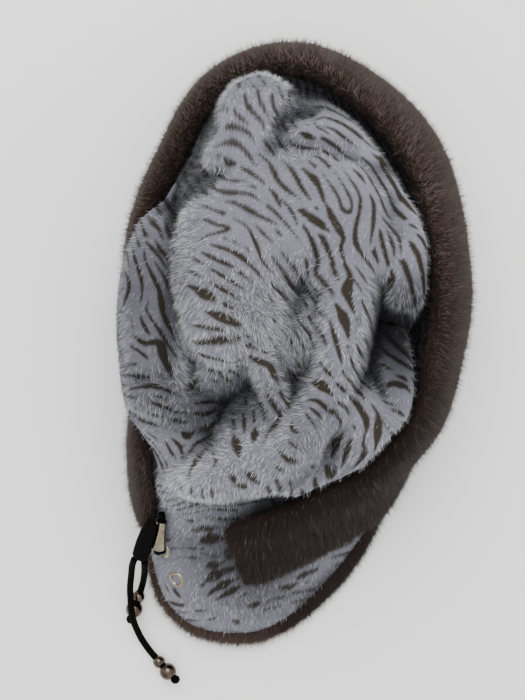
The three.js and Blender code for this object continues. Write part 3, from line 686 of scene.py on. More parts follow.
def overhung(points):
    """Draws the upper part of some folds' edges out over what lies beside them, and its foot back in."""
    out = points.copy()
    angle, r = polar(points[:, 0], points[:, 1])
    lip_r, _ = lip_at(angle)
    near_lip, high = smooth((r / lip_r - 0.7) / 0.2), smooth((points[:, 2] - PUSH_FROM_Z) / 20)
    away = edge_at(angle, "push") * near_lip * high
    out[:, :2] *= (1 + away / np.maximum(r, 1))[:, None]
    for push_x, push_y, height, reach, places in OVERHANGS:
        line = [photo_plane(u, v, height) for u, v in places]
        d, along = near_line(points[:, 0], points[:, 1], line)
        near = np.exp(-(d / reach) ** 2) * smooth(5 * along + 0.2) * smooth(5 * (1 - along) + 0.2)
        part = smooth((points[:, 2] - height + 9) / 18) * (1 + FOOT_SHARE) - FOOT_SHARE
        out[:, 0] += push_x * near * part
        out[:, 1] += push_y * near * part
    return out


class PaintedHollowShade:
    """How much of the sky each place of the crown sees, from a map of the heights round it, for shade painted
    into hollows.
    """

    def __init__(self):
        self.half = MAP_HALF
        place = np.arange(-self.half, self.half, 1.0)
        x, y = np.meshgrid(place, place)
        angle, r = polar(x, y)
        lip_r, _ = lip_at(angle)
        top = top_height(angle, np.minimum(r, lip_r))
        angle = past_start(angle)
        banded = (angle > BAND_START) & (angle < BAND_STOP - 2)
        band_z = np.where(banded, band_at(np.clip(angle, BAND_START, BAND_STOP), "top_z"), BACK_HEM_Z)
        self.z = np.where(r < lip_r, top, np.where(r < lip_r + BAND_REACH, band_z, 0.0))

    def sky(self, x, y, z):
        total = np.zeros_like(x)
        for k in range(SKY_TURNS):
            a = 2 * math.pi * k / SKY_TURNS
            steepest = np.zeros_like(x)
            for d in SKY_STEPS:
                i = np.clip((y + d * math.sin(a) + self.half).astype(int), 0, len(self.z) - 1)
                j = np.clip((x + d * math.cos(a) + self.half).astype(int), 0, len(self.z) - 1)
                steepest = np.maximum(steepest, (self.z[i, j] - z) / d)
            total += 1 / (1 + steepest ** 2)
        return total / SKY_TURNS

    def lit(self, points):
        """The painted shade at each point, from the sky it sees and the shade table: what is left of the
        fur's colour, and the share of the sky that it sees.
        """
        x, y, z = points.T
        sky = self.sky(x, y, z)
        return mix(DEEPEST, 1.0, smooth((sky - 0.38) / 0.5)) * shade(x, y), sky


def grid_faces(rows, columns, first=0, flip=False):
    """Quads between rows of points, each a closed ring of the same number of columns."""
    j = np.arange(columns)
    i = np.arange(rows - 1)[:, None]
    a = first + i * columns + j
    b = first + i * columns + (j + 1) % columns
    quads = np.stack([a, b, b + columns, a + columns], axis=-1).reshape(-1, 4)
    return quads[:, ::-1] if flip else quads


def fan_faces(ring, middle, flip=False):
    following = np.roll(ring, -1)
    faces = np.stack([ring, following, np.full(len(ring), middle)], axis=-1)
    return faces[:, ::-1] if flip else faces


def capped(rings, start, end):
    """The points and faces of rings one behind the other, closed by a point at either end."""
    rows, count = rings.shape[:2]
    last = rows * count
    caps = [fan_faces(np.arange(count), last, True), fan_faces(np.arange(last - count, last), last + 1)]
    return (np.concatenate([rings.reshape(-1, 3), [start, end]]),
            [grid_faces(rows, count), np.concatenate(caps)])


def looped(rows, columns):
    """Quads between rows of points, and from the last row back to the first."""
    end, start = (rows - 1) * columns + np.arange(columns), np.arange(columns)
    close = np.stack([end, np.roll(end, -1), np.roll(start, -1), start], axis=1)
    return np.concatenate([grid_faces(rows, columns), close])


def outward(points, groups):
    """The same faces, turned so that a closed shape's faces point out."""
    volume = 0.0
    for faces in groups:
        for k in range(1, faces.shape[1] - 1):
            a, b, c = points[faces[:, 0]], points[faces[:, k]], points[faces[:, k + 1]]
            volume += np.einsum("ij,ij->", np.cross(a, b), c)
    return [f[:, ::-1] if volume < 0 else f for f in groups]


def split_quads(faces):
    return np.concatenate([faces[:, [0, 1, 2]], faces[:, [0, 2, 3]]])


def normals_of(points, triangles):
    a, b, c = (points[triangles[:, k]] for k in range(3))
    face = np.cross(b - a, c - a)
    total = np.zeros_like(points)
    for k in range(3):
        np.add.at(total, triangles[:, k], face)
    return unit(total)


def to_frame(points):
    return (np.asarray(points, float) - MIDDLE) * MM


def build_mesh(name, points, faces, material, colours=None, normals=None, plane=None):
    """An object from points in millimetres of the tables' frame, and lists of faces of 3 or 4 corners."""
    groups = [np.asarray(f, int) for f in (faces if isinstance(faces, list) else [faces])]
    corners = np.concatenate([g.ravel() for g in groups])
    totals = np.concatenate([np.full(len(g), g.shape[1]) for g in groups])
    mesh = bpy.data.meshes.new(name)
    mesh.vertices.add(len(points))
    mesh.vertices.foreach_set("co", to_frame(points).astype(np.float32).ravel())
    mesh.loops.add(len(corners))
    mesh.loops.foreach_set("vertex_index", corners.astype(np.int32))
    mesh.polygons.add(len(totals))
    starts = np.concatenate([[0], np.cumsum(totals)[:-1]])
    mesh.polygons.foreach_set("loop_start", starts.astype(np.int32))
    mesh.update(calc_edges=True)
    mesh.shade_smooth()
    if colours is not None:
        layer = mesh.color_attributes.new("fur_colour", "FLOAT_COLOR", "POINT")
        rgba = np.concatenate([colours, np.ones((len(colours), 1))], axis=1)
        layer.data.foreach_set("color", rgba.astype(np.float32).ravel())
    if plane is not None:
        layer = mesh.uv_layers.new(name="OFBake")
        layer.uv.foreach_set("vector", plane[corners].astype(np.float32).ravel())
    if normals is not None:
        mesh.normals_split_custom_set_from_vertices(normals)
    mesh.materials.append(material)
    obj = bpy.data.objects.new(name, mesh)
    bpy.context.scene.collection.objects.link(obj)
    return obj


def finish_piece(obj, slot, *nodes):
    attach(obj, "root")
    if nodes:
        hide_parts(*nodes)
    return obj


class Skin:
    """A surface that fur grows on: points, triangles, normals, and each point's place on a flat map."""

    def __init__(self, points, triangles, plane):
        self.points, self.triangles, self.plane = points, triangles, plane
        self.normals = normals_of(points, triangles)

    def scatter(self, count, rng, weight=None):
        """Random places over the triangles, evenly by area or by weight at each triangle."""
        a, b, c = (self.points[self.triangles[:, k]] for k in range(3))
        area = np.linalg.norm(np.cross(b - a, c - a), axis=1) / 2
        total = np.cumsum(area if weight is None else area * weight)
        pick = np.searchsorted(total, rng.uniform(0, total[-1], count))
        pick = np.sort(pick)
        s, t = np.sqrt(rng.uniform(0, 1, count)), rng.uniform(0, 1, count)
        shares = np.stack([1 - s, s * (1 - t), s * t], axis=1)[:, :, None]
        corners = self.triangles[pick]
        place = (self.points[corners] * shares).sum(axis=1)
        normal = unit((self.normals[corners] * shares).sum(axis=1))
        flat = (self.plane[corners] * shares).sum(axis=1)
        return place, normal, flat


def crown_side():
    """Rows of the crown's outer face, from the hem up over the wall to the middle of the top."""
    angle = np.arange(CROWN_COLUMNS) * 360 / CROWN_COLUMNS
    a = np.radians(angle)
    rows = []
    for t in np.linspace(0, 3, WALL_ROWS):
        r, z = wall_point(angle, t)
        swell = smooth((t - 1.2) / 0.8) * smooth((3 - t) / 0.3)
        r = r + WALL_SWELL * swell * waves(r * np.cos(a), r * np.sin(a) + 2 * z, WALL_LUMP, 11)
        rows.append(ring_of(r, a, z))
    lip_r, _ = lip_at(angle)
    shares = 1 - (np.arange(1, TOP_ROWS) / TOP_ROWS) ** TOP_EASE
    for share in shares:
        r = lip_r * share
        rows.append(ring_of(r, a, top_height(angle, r)))
    side = WALL_ROWS + int((shares > 1 - 1.3 * LIP_BLEND).sum())
    steps = np.linalg.norm(np.diff(np.stack(rows[:side]), axis=0), axis=2)
    down = np.concatenate([np.cumsum(steps[::-1], axis=0)[::-1], np.zeros((1, CROWN_COLUMNS))])
    flat_r = lip_r * shares[side - WALL_ROWS - 1]
    reach = np.concatenate([flat_r + down, lip_r * shares[side - WALL_ROWS:, None]])
    points = np.concatenate([np.concatenate(rows), [[0, 0, top_height(np.zeros(1), np.zeros(1))[0]]]])
    points = overhung(points)
    grid = points[:-1].reshape(-1, CROWN_COLUMNS, 3)
    first, last = WALL_ROWS - LIP_SOFT_BELOW, WALL_ROWS + LIP_SOFT_ABOVE
    for _ in range(LIP_SOFT_ROUNDS):
        part = grid[first:last]
        grid[first + 1:last - 1] = 0.5 * part[1:-1] + 0.25 * (part[:-2] + part[2:])
    plane = np.stack([reach * np.cos(a), reach * np.sin(a)], axis=-1).reshape(-1, 2)
    plane = np.concatenate([plane, [[0, 0]]])
    return points, plane


def crown_inside():
    """Rows of the inner face, from the hem up, and the middle of its top."""
    angle = np.arange(CROWN_COLUMNS) * 360 / CROWN_COLUMNS
    a = np.radians(angle)
    rows = []
    for t in np.linspace(0, 3, INNER_WALL_ROWS):
        r, z = wall_point(angle, t)
        ahead, behind = (wall_point(angle, np.clip(t + s, 0, 3)) for s in (0.05, -0.05))
        dr, dz = ahead[0] - behind[0], ahead[1] - behind[1]
        size = np.hypot(dr, dz)
        if t > 2:
            folded = smooth((-wall_at(angle, "up") - 1) / 6)
            spread = smooth(wall_at(angle, "out") / 10)
            rows.append([r + mix(-5.5, 1.0, folded), z + mix(mix(-3.5, 1.0, spread), -5.0, folded)])
        elif t == 0:
            rows.append([r - CLOTH * np.clip(size / np.maximum(dz, 0.01), 1, 2.4), z])
        else:
            rows.append([r - CLOTH * dz / size, z + CLOTH * dr / size])
    inner_r = rows[-1][0]
    for k in range(1, INNER_TOP_ROWS):
        r = inner_r * (1 - k / INNER_TOP_ROWS)
        rows.append([r, top_height(angle, r) - below(r * np.cos(a), r * np.sin(a))])
    points = np.concatenate([ring_of(r, a, z) for r, z in rows])
    middle = top_height(np.zeros(1), np.zeros(1))[0] - below(np.zeros(1), np.zeros(1))[0]
    thick = np.array([0, 0, CLOTH])
    return overhung(np.concatenate([points, [[0, 0, middle]]]) + thick) - thick


def below(x, y):
    """How far the inner face of the top lies below its outer face."""
    step = 1.5
    gx = (crown_height(x + step, y) - crown_height(x - step, y)) / (2 * step)
    gy = (crown_height(x, y + step) - crown_height(x, y - step)) / (2 * step)
    return CLOTH * np.minimum(np.sqrt(1 + gx * gx + gy * gy), 2.2)


class StripeMap:
    """The stripes on the crown's flat map: dark is 1 on a stripe and 0 between stripes."""

    def __init__(self, skin):
        self.half = STRIPE_CELLS * STRIPE_CELL / 2
        tree = BVHTree.FromPolygons(skin.points.tolist(), skin.triangles.tolist())
        lines = []
        for strokes in STRIPES.values():
            for width, places in strokes:
                line = self.on_skin(skin, tree, places)
                if len(line) > 1:
                    lines.append((width, self.rounded(line)))
        drawn, halo = self.draw(lines)
        turns = self.directions(lines)
        self.dark = self.grow(drawn, halo, turns)

    def on_skin(self, skin, tree, places):
        """Where the pixels of a stripe show on the skin, as places on its flat map."""
        line = []
        for u, v in places:
            x, y = photo_plane(u, v, 0.0)
            ray = Vector((x, y, 0.0)) - Vector(CAMERA_AT)
            hit, _, face, _ = tree.ray_cast(Vector(CAMERA_AT), ray)
            if hit is None:
                continue
            corners = skin.triangles[face]
            a, b, c = skin.points[corners]
            shares = np.linalg.lstsq(np.stack([b - a, c - a], axis=1), np.array(hit) - a, rcond=None)[0]
            flat = skin.plane[corners]
            line.append(flat[0] + shares[0] * (flat[1] - flat[0]) + shares[1] * (flat[2] - flat[0]))
        return np.array(line)

    def rounded(self, line):
        """The line as a smooth curve with a point about every third of a millimetre."""
        ends = np.concatenate([[2 * line[0] - line[1]], line, [2 * line[-1] - line[-2]]])
        out = []
        for i in range(len(line) - 1):
            count = max(2, int(np.linalg.norm(line[i + 1] - line[i]) / 0.33))
            t = np.arange(count)[:, None] / count
            out.append(through([-1, 0, 1, 2], ends[i:i + 4][:, None], t))
        return np.concatenate([*out, [line[-1]]])

    def cell(self, flat):
        return (flat + self.half) / STRIPE_CELL

    def draw(self, lines):
        drawn = np.full((STRIPE_CELLS, STRIPE_CELLS), -3.0)
        for number, (width, line) in enumerate(lines):
            if line[:, 1].mean() < BACK_Y:
                width = BACK_BOLDER * width
            rng = np.random.default_rng(700 + number)
            share = np.linspace(0, 1, len(line))
            lead = rng.uniform(0.35, 0.65)
            body = np.where(share < lead, share / lead, (1 - share) / (1 - lead))
            radius = width / 2 * np.clip(body, 0, 1) ** 0.55
            radius = radius * (1 + 0.12 * np.sin(share * len(line) * 0.2 + number))
            for place, r in zip(self.cell(line), radius):
                reach = int((r + 3) / STRIPE_CELL)
                i0, j0 = int(place[1]) - reach, int(place[0]) - reach
                if min(i0, j0) < 0 or max(i0, j0) + 2 * reach + 2 >= STRIPE_CELLS:
                    continue
                i = np.arange(i0, i0 + 2 * reach + 2)[:, None]
                j = np.arange(j0, j0 + 2 * reach + 2)
                d = np.hypot(i - place[1], j - place[0]) * STRIPE_CELL
                window = drawn[i0:i0 + 2 * reach + 2, j0:j0 + 2 * reach + 2]
                np.maximum(window, r - d, out=window)
        return drawn, smooth((drawn + 2.3) / 0.8)

    def directions(self, lines):
        """The way that stripes run, as the doubled angle's cosine and sine, spread from the drawn ones."""
        coarse, every = TURN_CELLS, TURN_EVERY
        centre = (np.arange(coarse) + 0.5) / coarse * 2 * self.half - self.half
        x, y = np.meshgrid(centre, centre)
        cos2, sin2 = np.zeros_like(x), np.zeros_like(x)
        for _, line in lines:
            steps = line[every::every] - line[:-every:every][:len(line[every::every])]
            middles = line[every // 2::every][:len(steps)]
            for step, middle in zip(steps, middles):
                turn = 2 * math.atan2(step[1], step[0])
                weight = 1 / ((x - middle[0]) ** 2 + (y - middle[1]) ** 2 + 16) ** 1.6
                cos2 += weight * math.cos(turn)
                sin2 += weight * math.sin(turn)
        size = np.hypot(cos2, sin2) + 1e-12
        fine = np.arange(STRIPE_CELLS) / STRIPE_CELLS * coarse - 0.5
        fields = []
        for field in (cos2 / size, sin2 / size):
            i = np.clip(fine, 0, coarse - 1.001)
            low = i.astype(int)
            part = i - low
            rows = field[low] * (1 - part)[:, None] + field[low + 1] * part[:, None]
            fields.append(rows[:, low] * (1 - part) + rows[:, low + 1] * part)
        return fields

    def grow(self, drawn, halo, turns):
        """Fills the room between the drawn stripes with more, all of one spacing and along the field."""
        rng = np.random.default_rng(21)
        n = STRIPE_CELLS
        fy = np.fft.fftfreq(n, STRIPE_CELL)[:, None]
        fx = np.fft.rfftfreq(n, STRIPE_CELL)[None]
        f = np.hypot(fx, fy)
        base = 1 / STRIPE_SPACING
        ring = np.exp(-((f - base) / (STRIPE_SPREAD * base)) ** 2)
        across = np.arctan2(fy, fx)
        filters, blends = [], []
        local = np.arctan2(turns[1], turns[0]) / 2
        for k in range(STRIPE_TURNS):
            turn = math.pi * k / STRIPE_TURNS
            off = np.mod(across - turn, math.pi) - math.pi / 2
            filters.append(ring * np.exp(-(off / STRIPE_TURN_WIDTH) ** 2))
            away = np.abs(np.mod(local - turn + math.pi / 2, math.pi) - math.pi / 2)
            blends.append(np.clip(1 - away / (math.pi / STRIPE_TURNS), 0, 1))
        inside = np.clip(drawn / 0.5, -1, 1)
        field = rng.normal(0, 0.4, (n, n)) * (1 - halo) + inside * halo
        for _ in range(STRIPE_ROUNDS):
            spectrum = np.fft.rfft2(field)
            reply = sum(b * np.fft.irfft2(spectrum * g, s=(n, n)) for g, b in zip(filters, blends))
            reply *= STRIPE_GAIN
            field = np.tanh(reply * (1 - 0.7 * halo) + STRIPE_PULL * inside * halo)
        x, y = np.meshgrid(np.arange(n) * STRIPE_CELL, np.arange(n) * STRIPE_CELL)
        level = np.full_like(x, LEVEL)
        for amount, length, seed in LEVEL_LUMPS:
            level += amount * waves(x, y, length, seed)
        back, far_back = (smooth((self.half - start - y) / 16) for start in (60, 76))
        level += LEVEL_BACK * back + LEVEL_FAR_BACK * far_back
        level += LEVEL_OPEN * opened(x - self.half, y - self.half)
        grown = smooth((reply / (1.45 * reply.std()) - level) / 0.16 + 0.5) * (1 - halo)
        return np.maximum(grown, smooth(drawn / 0.35 + 0.5))

    def at(self, flat):
        c = np.clip(self.cell(flat), 0, STRIPE_CELLS - 1.001)
        low = c.astype(int)
        p = c - low
        i, j = low[:, 1], low[:, 0]
        top = self.dark[i, j] * (1 - p[:, 0]) + self.dark[i, j + 1] * p[:, 0]
        bottom = self.dark[i + 1, j] * (1 - p[:, 0]) + self.dark[i + 1, j + 1] * p[:, 0]
        return top * (1 - p[:, 1]) + bottom * p[:, 1]


def shade(x, y):
    """The painted shade and painted light at each place: the share of the pile's brightness that is left."""
    total = np.ones_like(x)
    for sx, sy, turn, long, wide, amount in SHADE_TABLE.values():
        along, across = turned(x, y, sx, sy, turn)
        total *= 1 + amount * np.exp(-((along / long) ** 2 + (across / wide) ** 2) ** 1.5)
    return total


def opened(x, y):
    """How far the pile lies open at each place, 0 to 1."""
    most = np.zeros_like(x)
    for ox, oy, turn, long, wide, strength in OPENED_TABLE.values():
        along, across = turned(x, y, ox, oy, turn)
        most = np.maximum(most, strength * np.exp(-((along / long) ** 2 + (across / wide) ** 2)))
    return np.clip(most * (1 + 0.5 * waves(x, y, 8, 41)), 0, 1)


def tufts(flat, size, seed):
    """One random pair for each cell of the flat map, so that strands near each other lean alike."""
    cell = np.floor(flat / size).astype(np.int64)
    keys = (cell[:, 0] * 73856093) ^ (cell[:, 1] * 19349663) ^ seed
    first = np.sin(keys * 12.9898) * 43758.5453
    second = np.sin(keys * 78.233) * 24634.6345
    return np.stack([first - np.floor(first), second - np.floor(second)], axis=1) * 2 - 1


def carried(normal, angle, comb, reach):
    """How far a strand's end lies from its root on the flat map, when it leans reach along comb."""
    round_it = np.stack([-np.sin(angle), np.cos(angle), np.zeros_like(angle)], axis=1)
    down = unit(np.cross(round_it, normal))
    outward_flat = np.stack([np.cos(angle), np.sin(angle)], axis=1)
    lean = unit(comb - dot(comb, normal) * normal) * reach[:, None]
    return dot(lean, round_it) * round_it[:, :2] + dot(lean, down) * outward_flat


def strands(name, place, normal, comb, lift, length, width, root_colour, tip_colour, rng, material, flat):
    """Fur as one mesh: each strand is a thin triangle rooted on the skin. comb is the way it lies,
    and lift how steeply it stands, in radians."""
    side_on = unit(comb - dot(comb, normal) * normal)
    way = unit(side_on * np.cos(lift)[:, None] + normal * np.sin(lift)[:, None])
    across = unit(np.cross(way, normal))
    root = place - ROOT_DEPTH * normal
    tip = root + way * length[:, None]
    tip[:, 2] = np.maximum(tip[:, 2], FLOOR_CLEAR)
    root[:, 2] = np.maximum(root[:, 2], FLOOR_CLEAR)
    half = across * (width / 2)[:, None]
    points = np.stack([root - half, root + half, tip], axis=1).reshape(-1, 3)
    n = len(place)
    normals = np.repeat(unit(normal + 0.30 * rng.normal(0, 1, (n, 3))), 3, axis=0)
    colours = np.stack([root_colour, root_colour, tip_colour], axis=1).reshape(-1, 3)
    span = 2 * STRIPE_CELLS * STRIPE_CELL
    uv = np.repeat(flat, 3, axis=0) / span + 0.5
    uv[1::3, 0] += 0.4 / span
    uv[2::3, 1] -= 1.0 / span
    faces = np.arange(3 * n).reshape(-1, 3)
    return build_mesh(name, points, faces, material, colours, normals, uv)


def socket(material, name):
    return material.node_tree.nodes["Principled BSDF"].inputs[name]


def plain_material(name, roughness, metallic=0.0, **more):
    material = bpy.data.materials.new(name)
    material.use_nodes = True
    socket(material, "Roughness").default_value = roughness
    socket(material, "Metallic").default_value = metallic
    for key, value in more.items():
        socket(material, key.replace("_", " ")).default_value = value
    return material


def node(material, kind, **values):
    """A new node of a material, with values set on its inputs."""
    made = material.node_tree.nodes.new("ShaderNode" + kind)
    for key, value in values.items():
        made.inputs[key.replace("_", " ")].default_value = value
    return made


def noise_in(material, scale, detail, warp=None):
    """Noise in the object's own space, drawn out by warp."""
    links = material.node_tree.links
    source = node(material, "TexCoord").outputs["Object"]
    if warp is not None:
        mapping = node(material, "Mapping", Scale=warp)
        links.new(source, mapping.inputs["Vector"])
        source = mapping.outputs["Vector"]
    noise = node(material, "TexNoise", Scale=scale, Detail=detail)
    links.new(source, noise.inputs["Vector"])
    return noise.outputs["Fac"]


def add_bump(material, scale, distance, strength, warp=None):
    links = material.node_tree.links
    bump = node(material, "Bump", Strength=strength, Distance=distance)
    links.new(noise_in(material, scale, 2.0, warp), bump.inputs["Height"])
    links.new(bump.outputs["Normal"], socket(material, "Normal"))


def fur_material(name, roughness, sheen, tint, specular):
    """A material for fur: the colours stored on the mesh, with their painted light and shade, varied by soft
    noise.
    """
    material = plain_material(name, roughness, Sheen_Weight=sheen, Sheen_Roughness=0.4,
                              Sheen_Tint=(*tint, 1), Specular_IOR_Level=specular)
    links = material.node_tree.links
    colour = node(material, "VertexColor")
    colour.layer_name = "fur_colour"
    ramp = node(material, "MapRange", To_Min=0.82, To_Max=1.18)
    links.new(noise_in(material, 160, 3), ramp.inputs["Value"])
    scaled = node(material, "VectorMath")
    scaled.operation = "SCALE"
    links.new(colour.outputs["Color"], scaled.inputs[0])
    links.new(ramp.outputs["Result"], scaled.inputs["Scale"])
    links.new(scaled.outputs["Vector"], socket(material, "Base Color"))
    return material


def coloured_material(name, dark, light, scale, roughness, metallic=0.0, **more):
    """A material whose colour runs between two by noise."""
    material = plain_material(name, roughness, metallic, **more)
    links = material.node_tree.links
    ramp = node(material, "ValToRGB")
    for end, position, colour in zip(ramp.color_ramp.elements, (0.35, 0.65), (dark, light)):
        end.position = position
        end.color = (*colour, 1)
    links.new(noise_in(material, scale, 4), ramp.inputs["Fac"])
    links.new(ramp.outputs["Color"], socket(material, "Base Color"))
    return material


GREY_FUR = fur_material("grey_fur", 0.62, 0.15, (0.8, 0.8, 0.9), 0.35)
DARK_FUR = fur_material("dark_fur", 0.55, 0.04, (0.9, 0.75, 0.7), 0.1)
BROWN_FUR = fur_material("brown_fur", 0.6, 0.04, (0.9, 0.75, 0.7), 0.1)
SKIN = fur_material("fur_base", 0.9, 0.1, (0.8, 0.8, 0.85), 0.1)
add_bump(SKIN, 1400, 0.0006, 0.8)
BLACK_CORD = coloured_material("black_cord", (0.0015, 0.0013, 0.0012), (0.004, 0.0037, 0.0035), 900, 0.6,
                               Specular_IOR_Level=0.02)
add_bump(BLACK_CORD, 2600, 0.0002, 0.6, warp=(1, 1, 2.5))
CHAMPAGNE = coloured_material("champagne_metal", (0.20, 0.17, 0.12), (0.34, 0.295, 0.21), 260, 0.15, 1.0)
add_bump(CHAMPAGNE, 1800, 0.00004, 0.35, warp=(1, 1, 6))
BRONZE = coloured_material("dark_bronze", (0.05, 0.036, 0.027), (0.13, 0.10, 0.078), 420, 0.14, 1.0)
add_bump(BRONZE, 900, 0.00005, 0.3)


def fur_lie(flat):
    """The way that the crown's pile lies: towards the back and a little left."""
    turn = np.radians(LIE_TURN + LIE_SWING * waves(flat[:, 0], flat[:, 1], 70, 51))
    return np.stack([np.cos(turn), np.sin(turn), np.full(len(turn), -0.35)], axis=1)


def hidden_by_band(points):
    """True where the crown's wall lies behind the band."""
    angle, r = polar(points[:, 0], points[:, 1])
    angle = past_start(angle)
    under = (angle > BAND_START + 7) & (angle < BAND_STOP - 4)
    inside = np.clip(angle, BAND_START, BAND_STOP)
    low, top = band_at(inside, "low_z") + 5, np.minimum(band_at(inside, "top_z"), wall_at(angle, "rim_z")) - 6
    return under & (r > wall_at(angle, "rim") - 1.5) & (points[:, 2] > low) & (points[:, 2] < top)


def make_crown():
    points, plane = crown_side()
    rows = WALL_ROWS + TOP_ROWS - 1
    outer = grid_faces(rows, CROWN_COLUMNS)
    middle = rows * CROWN_COLUMNS
    cap = fan_faces(np.arange(middle - CROWN_COLUMNS, middle), middle)
    skin = Skin(points, np.concatenate([split_quads(outer), cap]), plane)
    stripes = StripeMap(skin)
    inner = crown_inside()
    first = len(points)
    inner_rows = INNER_WALL_ROWS + INNER_TOP_ROWS - 1
    inner_middle = first + inner_rows * CROWN_COLUMNS
    inside = grid_faces(inner_rows, CROWN_COLUMNS, first, flip=True)
    inner_cap = fan_faces(np.arange(inner_middle - CROWN_COLUMNS, inner_middle), inner_middle, True)
    ring, other = np.arange(CROWN_COLUMNS), first + np.arange(CROWN_COLUMNS)
    foot = np.stack([np.roll(ring, -1), ring, other, np.roll(other, -1)], axis=1)
    hollow_shade = PaintedHollowShade()
    dark = stripes.at(plane)[:, None]
    base = mix(0.7 * np.array(GREY), np.array(GREY_DEEP), opened(points[:, 0], points[:, 1])[:, None])
    # The skin's colour carries painted shade, darker in hollows and by the shade table, and painted light
    # where that table adds it
    outside = mix(base, np.array(STRIPE), dark) * hollow_shade.lit(points)[0][:, None]
    colours = np.concatenate([outside, np.tile(GREY_DEEP, (len(inner), 1))])
    base = build_mesh("crown_skin", np.concatenate([points, inner]),
                      [np.concatenate([outer, inside, foot]), np.concatenate([cap, inner_cap])],
                      SKIN, colours)
    finish_piece(base, "crown_fur", "crown")

    rng = np.random.default_rng(3)
    bare = hidden_by_band(skin.points)
    for angle, z in EYELETS.values():
        bare |= np.linalg.norm(skin.points - eyelet_place(angle, z)[0], axis=1) < EYELET_FLANGE / 2 + 0.6
    shown = (~bare)[skin.triangles].all(axis=1).astype(float)
    front = skin.points[skin.triangles][:, :, 1].mean(axis=1)
    limits = piece_limits(front, skin, shown)
    for number in range(CROWN_PIECES):
        share = shown * (front >= limits[number]) * (front < limits[number + 1])
        place, normal, flat = skin.scatter(CROWN_STRANDS, rng, share)
        n = len(place)
        dark_root = stripes.at(flat)
        lies_open = opened(place[:, 0], place[:, 1]) * (1 - 0.75 * dark_root)
        comb = fur_lie(flat)
        steep = 1 - np.clip(normal[:, 2], 0, 1)
        ridge = steep * (STEEP_GUARD_SHARE + RIDGE_GUARD_SHARE * smooth((place[:, 2] - RIDGE_Z) / 12))
        comb[:, :2] += 0.9 * normal[:, :2]
        comb[:, :2] += (0.08 + 0.5 * lies_open[:, None]) * tufts(flat, 2.0, 17)
        comb[:, :2] += (0.08 + 0.30 * lies_open[:, None]) * rng.normal(0, 1, (n, 2))
        at_back = smooth((-80 - flat[:, 1]) / 8)
        likely = CROWN_GUARD_SHARE + OPEN_GUARD_SHARE * lies_open + ridge
        likely = likely * (1 - STRIPE_GUARD_LESS * dark_root) * (1 - BACK_GUARD_LESS * at_back)
        guard = rng.uniform(0, 1, n) < likely
        lift = rng.normal(CROWN_LIFT, CROWN_LIFT_SPREAD, n) + CROWN_OPEN_LIFT * lies_open
        lift = np.radians(np.clip(lift + CROWN_GUARD_LIFT * guard, 12, 75))
        length = rng.uniform(*CROWN_PILE, n) * (1 + 0.6 * lies_open)
        length = np.where(guard, rng.uniform(*CROWN_GUARD, n) * (1 + 0.2 * lies_open), length)
        reach = length * np.cos(lift)
        angle = np.arctan2(place[:, 1], place[:, 0])
        dark_tip = stripes.at(flat + carried(normal, angle, comb, reach))
        fade = 1 - 0.3 * lies_open * rng.uniform(0, 1, n) * (1 - at_back)
        dark_root, dark_tip = dark_root * fade, dark_tip * fade
        length = np.where(guard, length, length * (1 - 0.25 * dark_root))
        width = np.where(guard, CROWN_GUARD_WIDTH, rng.uniform(*CROWN_WIDTHS, n) * (1 - 0.3 * lies_open))
        dark_tip = np.where(guard, dark_tip * 0.25, dark_tip)
        own = np.exp((0.10 + 0.32 * lies_open) * rng.normal(0, 1, n))
        light = np.array(GREY) * own[:, None]
        silver = (guard * rng.uniform(0.45, 1, n) + 0.1 * lies_open * rng.uniform(0, 1, n)).clip(0, 1)
        light = mix(light, np.array(SILVER), silver[:, None])
        brown = np.array(STRIPE) * (1 + 0.3 * rng.uniform(-1, 1, (n, 1)))
        # Painted shade on the strands, darker in hollows and by the shade table; tips of guard hairs that see
        # much sky keep more of their brightness
        lit, sky = hollow_shade.lit(place)
        lit = lit[:, None]
        lit_tip = mix(lit, 1.0, (0.4 * guard * smooth((sky - 0.55) / 0.3))[:, None])
        root_tone = ROOT_TONE - ROOT_OPEN_LESS * lies_open[:, None]
        tip_tone = TIP_TONE - TIP_OPEN_LESS * lies_open[:, None]
        root = mix(root_tone * light, brown, dark_root[:, None]) * lit
        tip = mix(tip_tone * light, brown, dark_tip[:, None]) * lit_tip
        piece = strands(f"crown_fur_{number + 1}", place, normal, comb, lift, length, width,
                        root, tip.clip(0, 1), rng, GREY_FUR, flat)
        finish_piece(piece, "crown_fur")


def piece_limits(front, skin, shown):
    """Limits from back to front that part the shown skin into pieces of the same area."""
    a, b, c = (skin.points[skin.triangles[:, k]] for k in range(3))
    area = np.linalg.norm(np.cross(b - a, c - a), axis=1) * shown
    order = np.argsort(front)
    total = np.cumsum(area[order])
    cuts = [front[order][np.searchsorted(total, total[-1] * k / CROWN_PIECES)]
            for k in range(1, CROWN_PIECES)]
    return [-1e9, *cuts, 1e9]


def beside_wall(angle, height, distance, past):
    height = np.asarray(height, float)
    read_z = np.minimum(height, wall_at(angle, "rim_z"))
    r, slope = wall_radius(angle, read_z)
    step = 2.0
    ahead = wall_radius(angle + step, np.minimum(height, wall_at(angle + step, "rim_z")))[0]
    behind = wall_radius(angle - step, np.minimum(height, wall_at(angle - step, "rim_z")))[0]
    turn = (ahead - behind) / math.radians(2 * step)
    a = np.radians(angle)
    run = unit(np.stack([turn * np.cos(a) - r * np.sin(a), turn * np.sin(a) + r * np.cos(a)], axis=-1))
    tilt = slope * r / np.hypot(turn, r)
    away = distance * np.clip(np.hypot(1, tilt), 1, 1.7) + past
    return np.stack([r * np.cos(a) + run[..., 1] * away, r * np.sin(a) - run[..., 0] * away, height],
                    axis=-1)


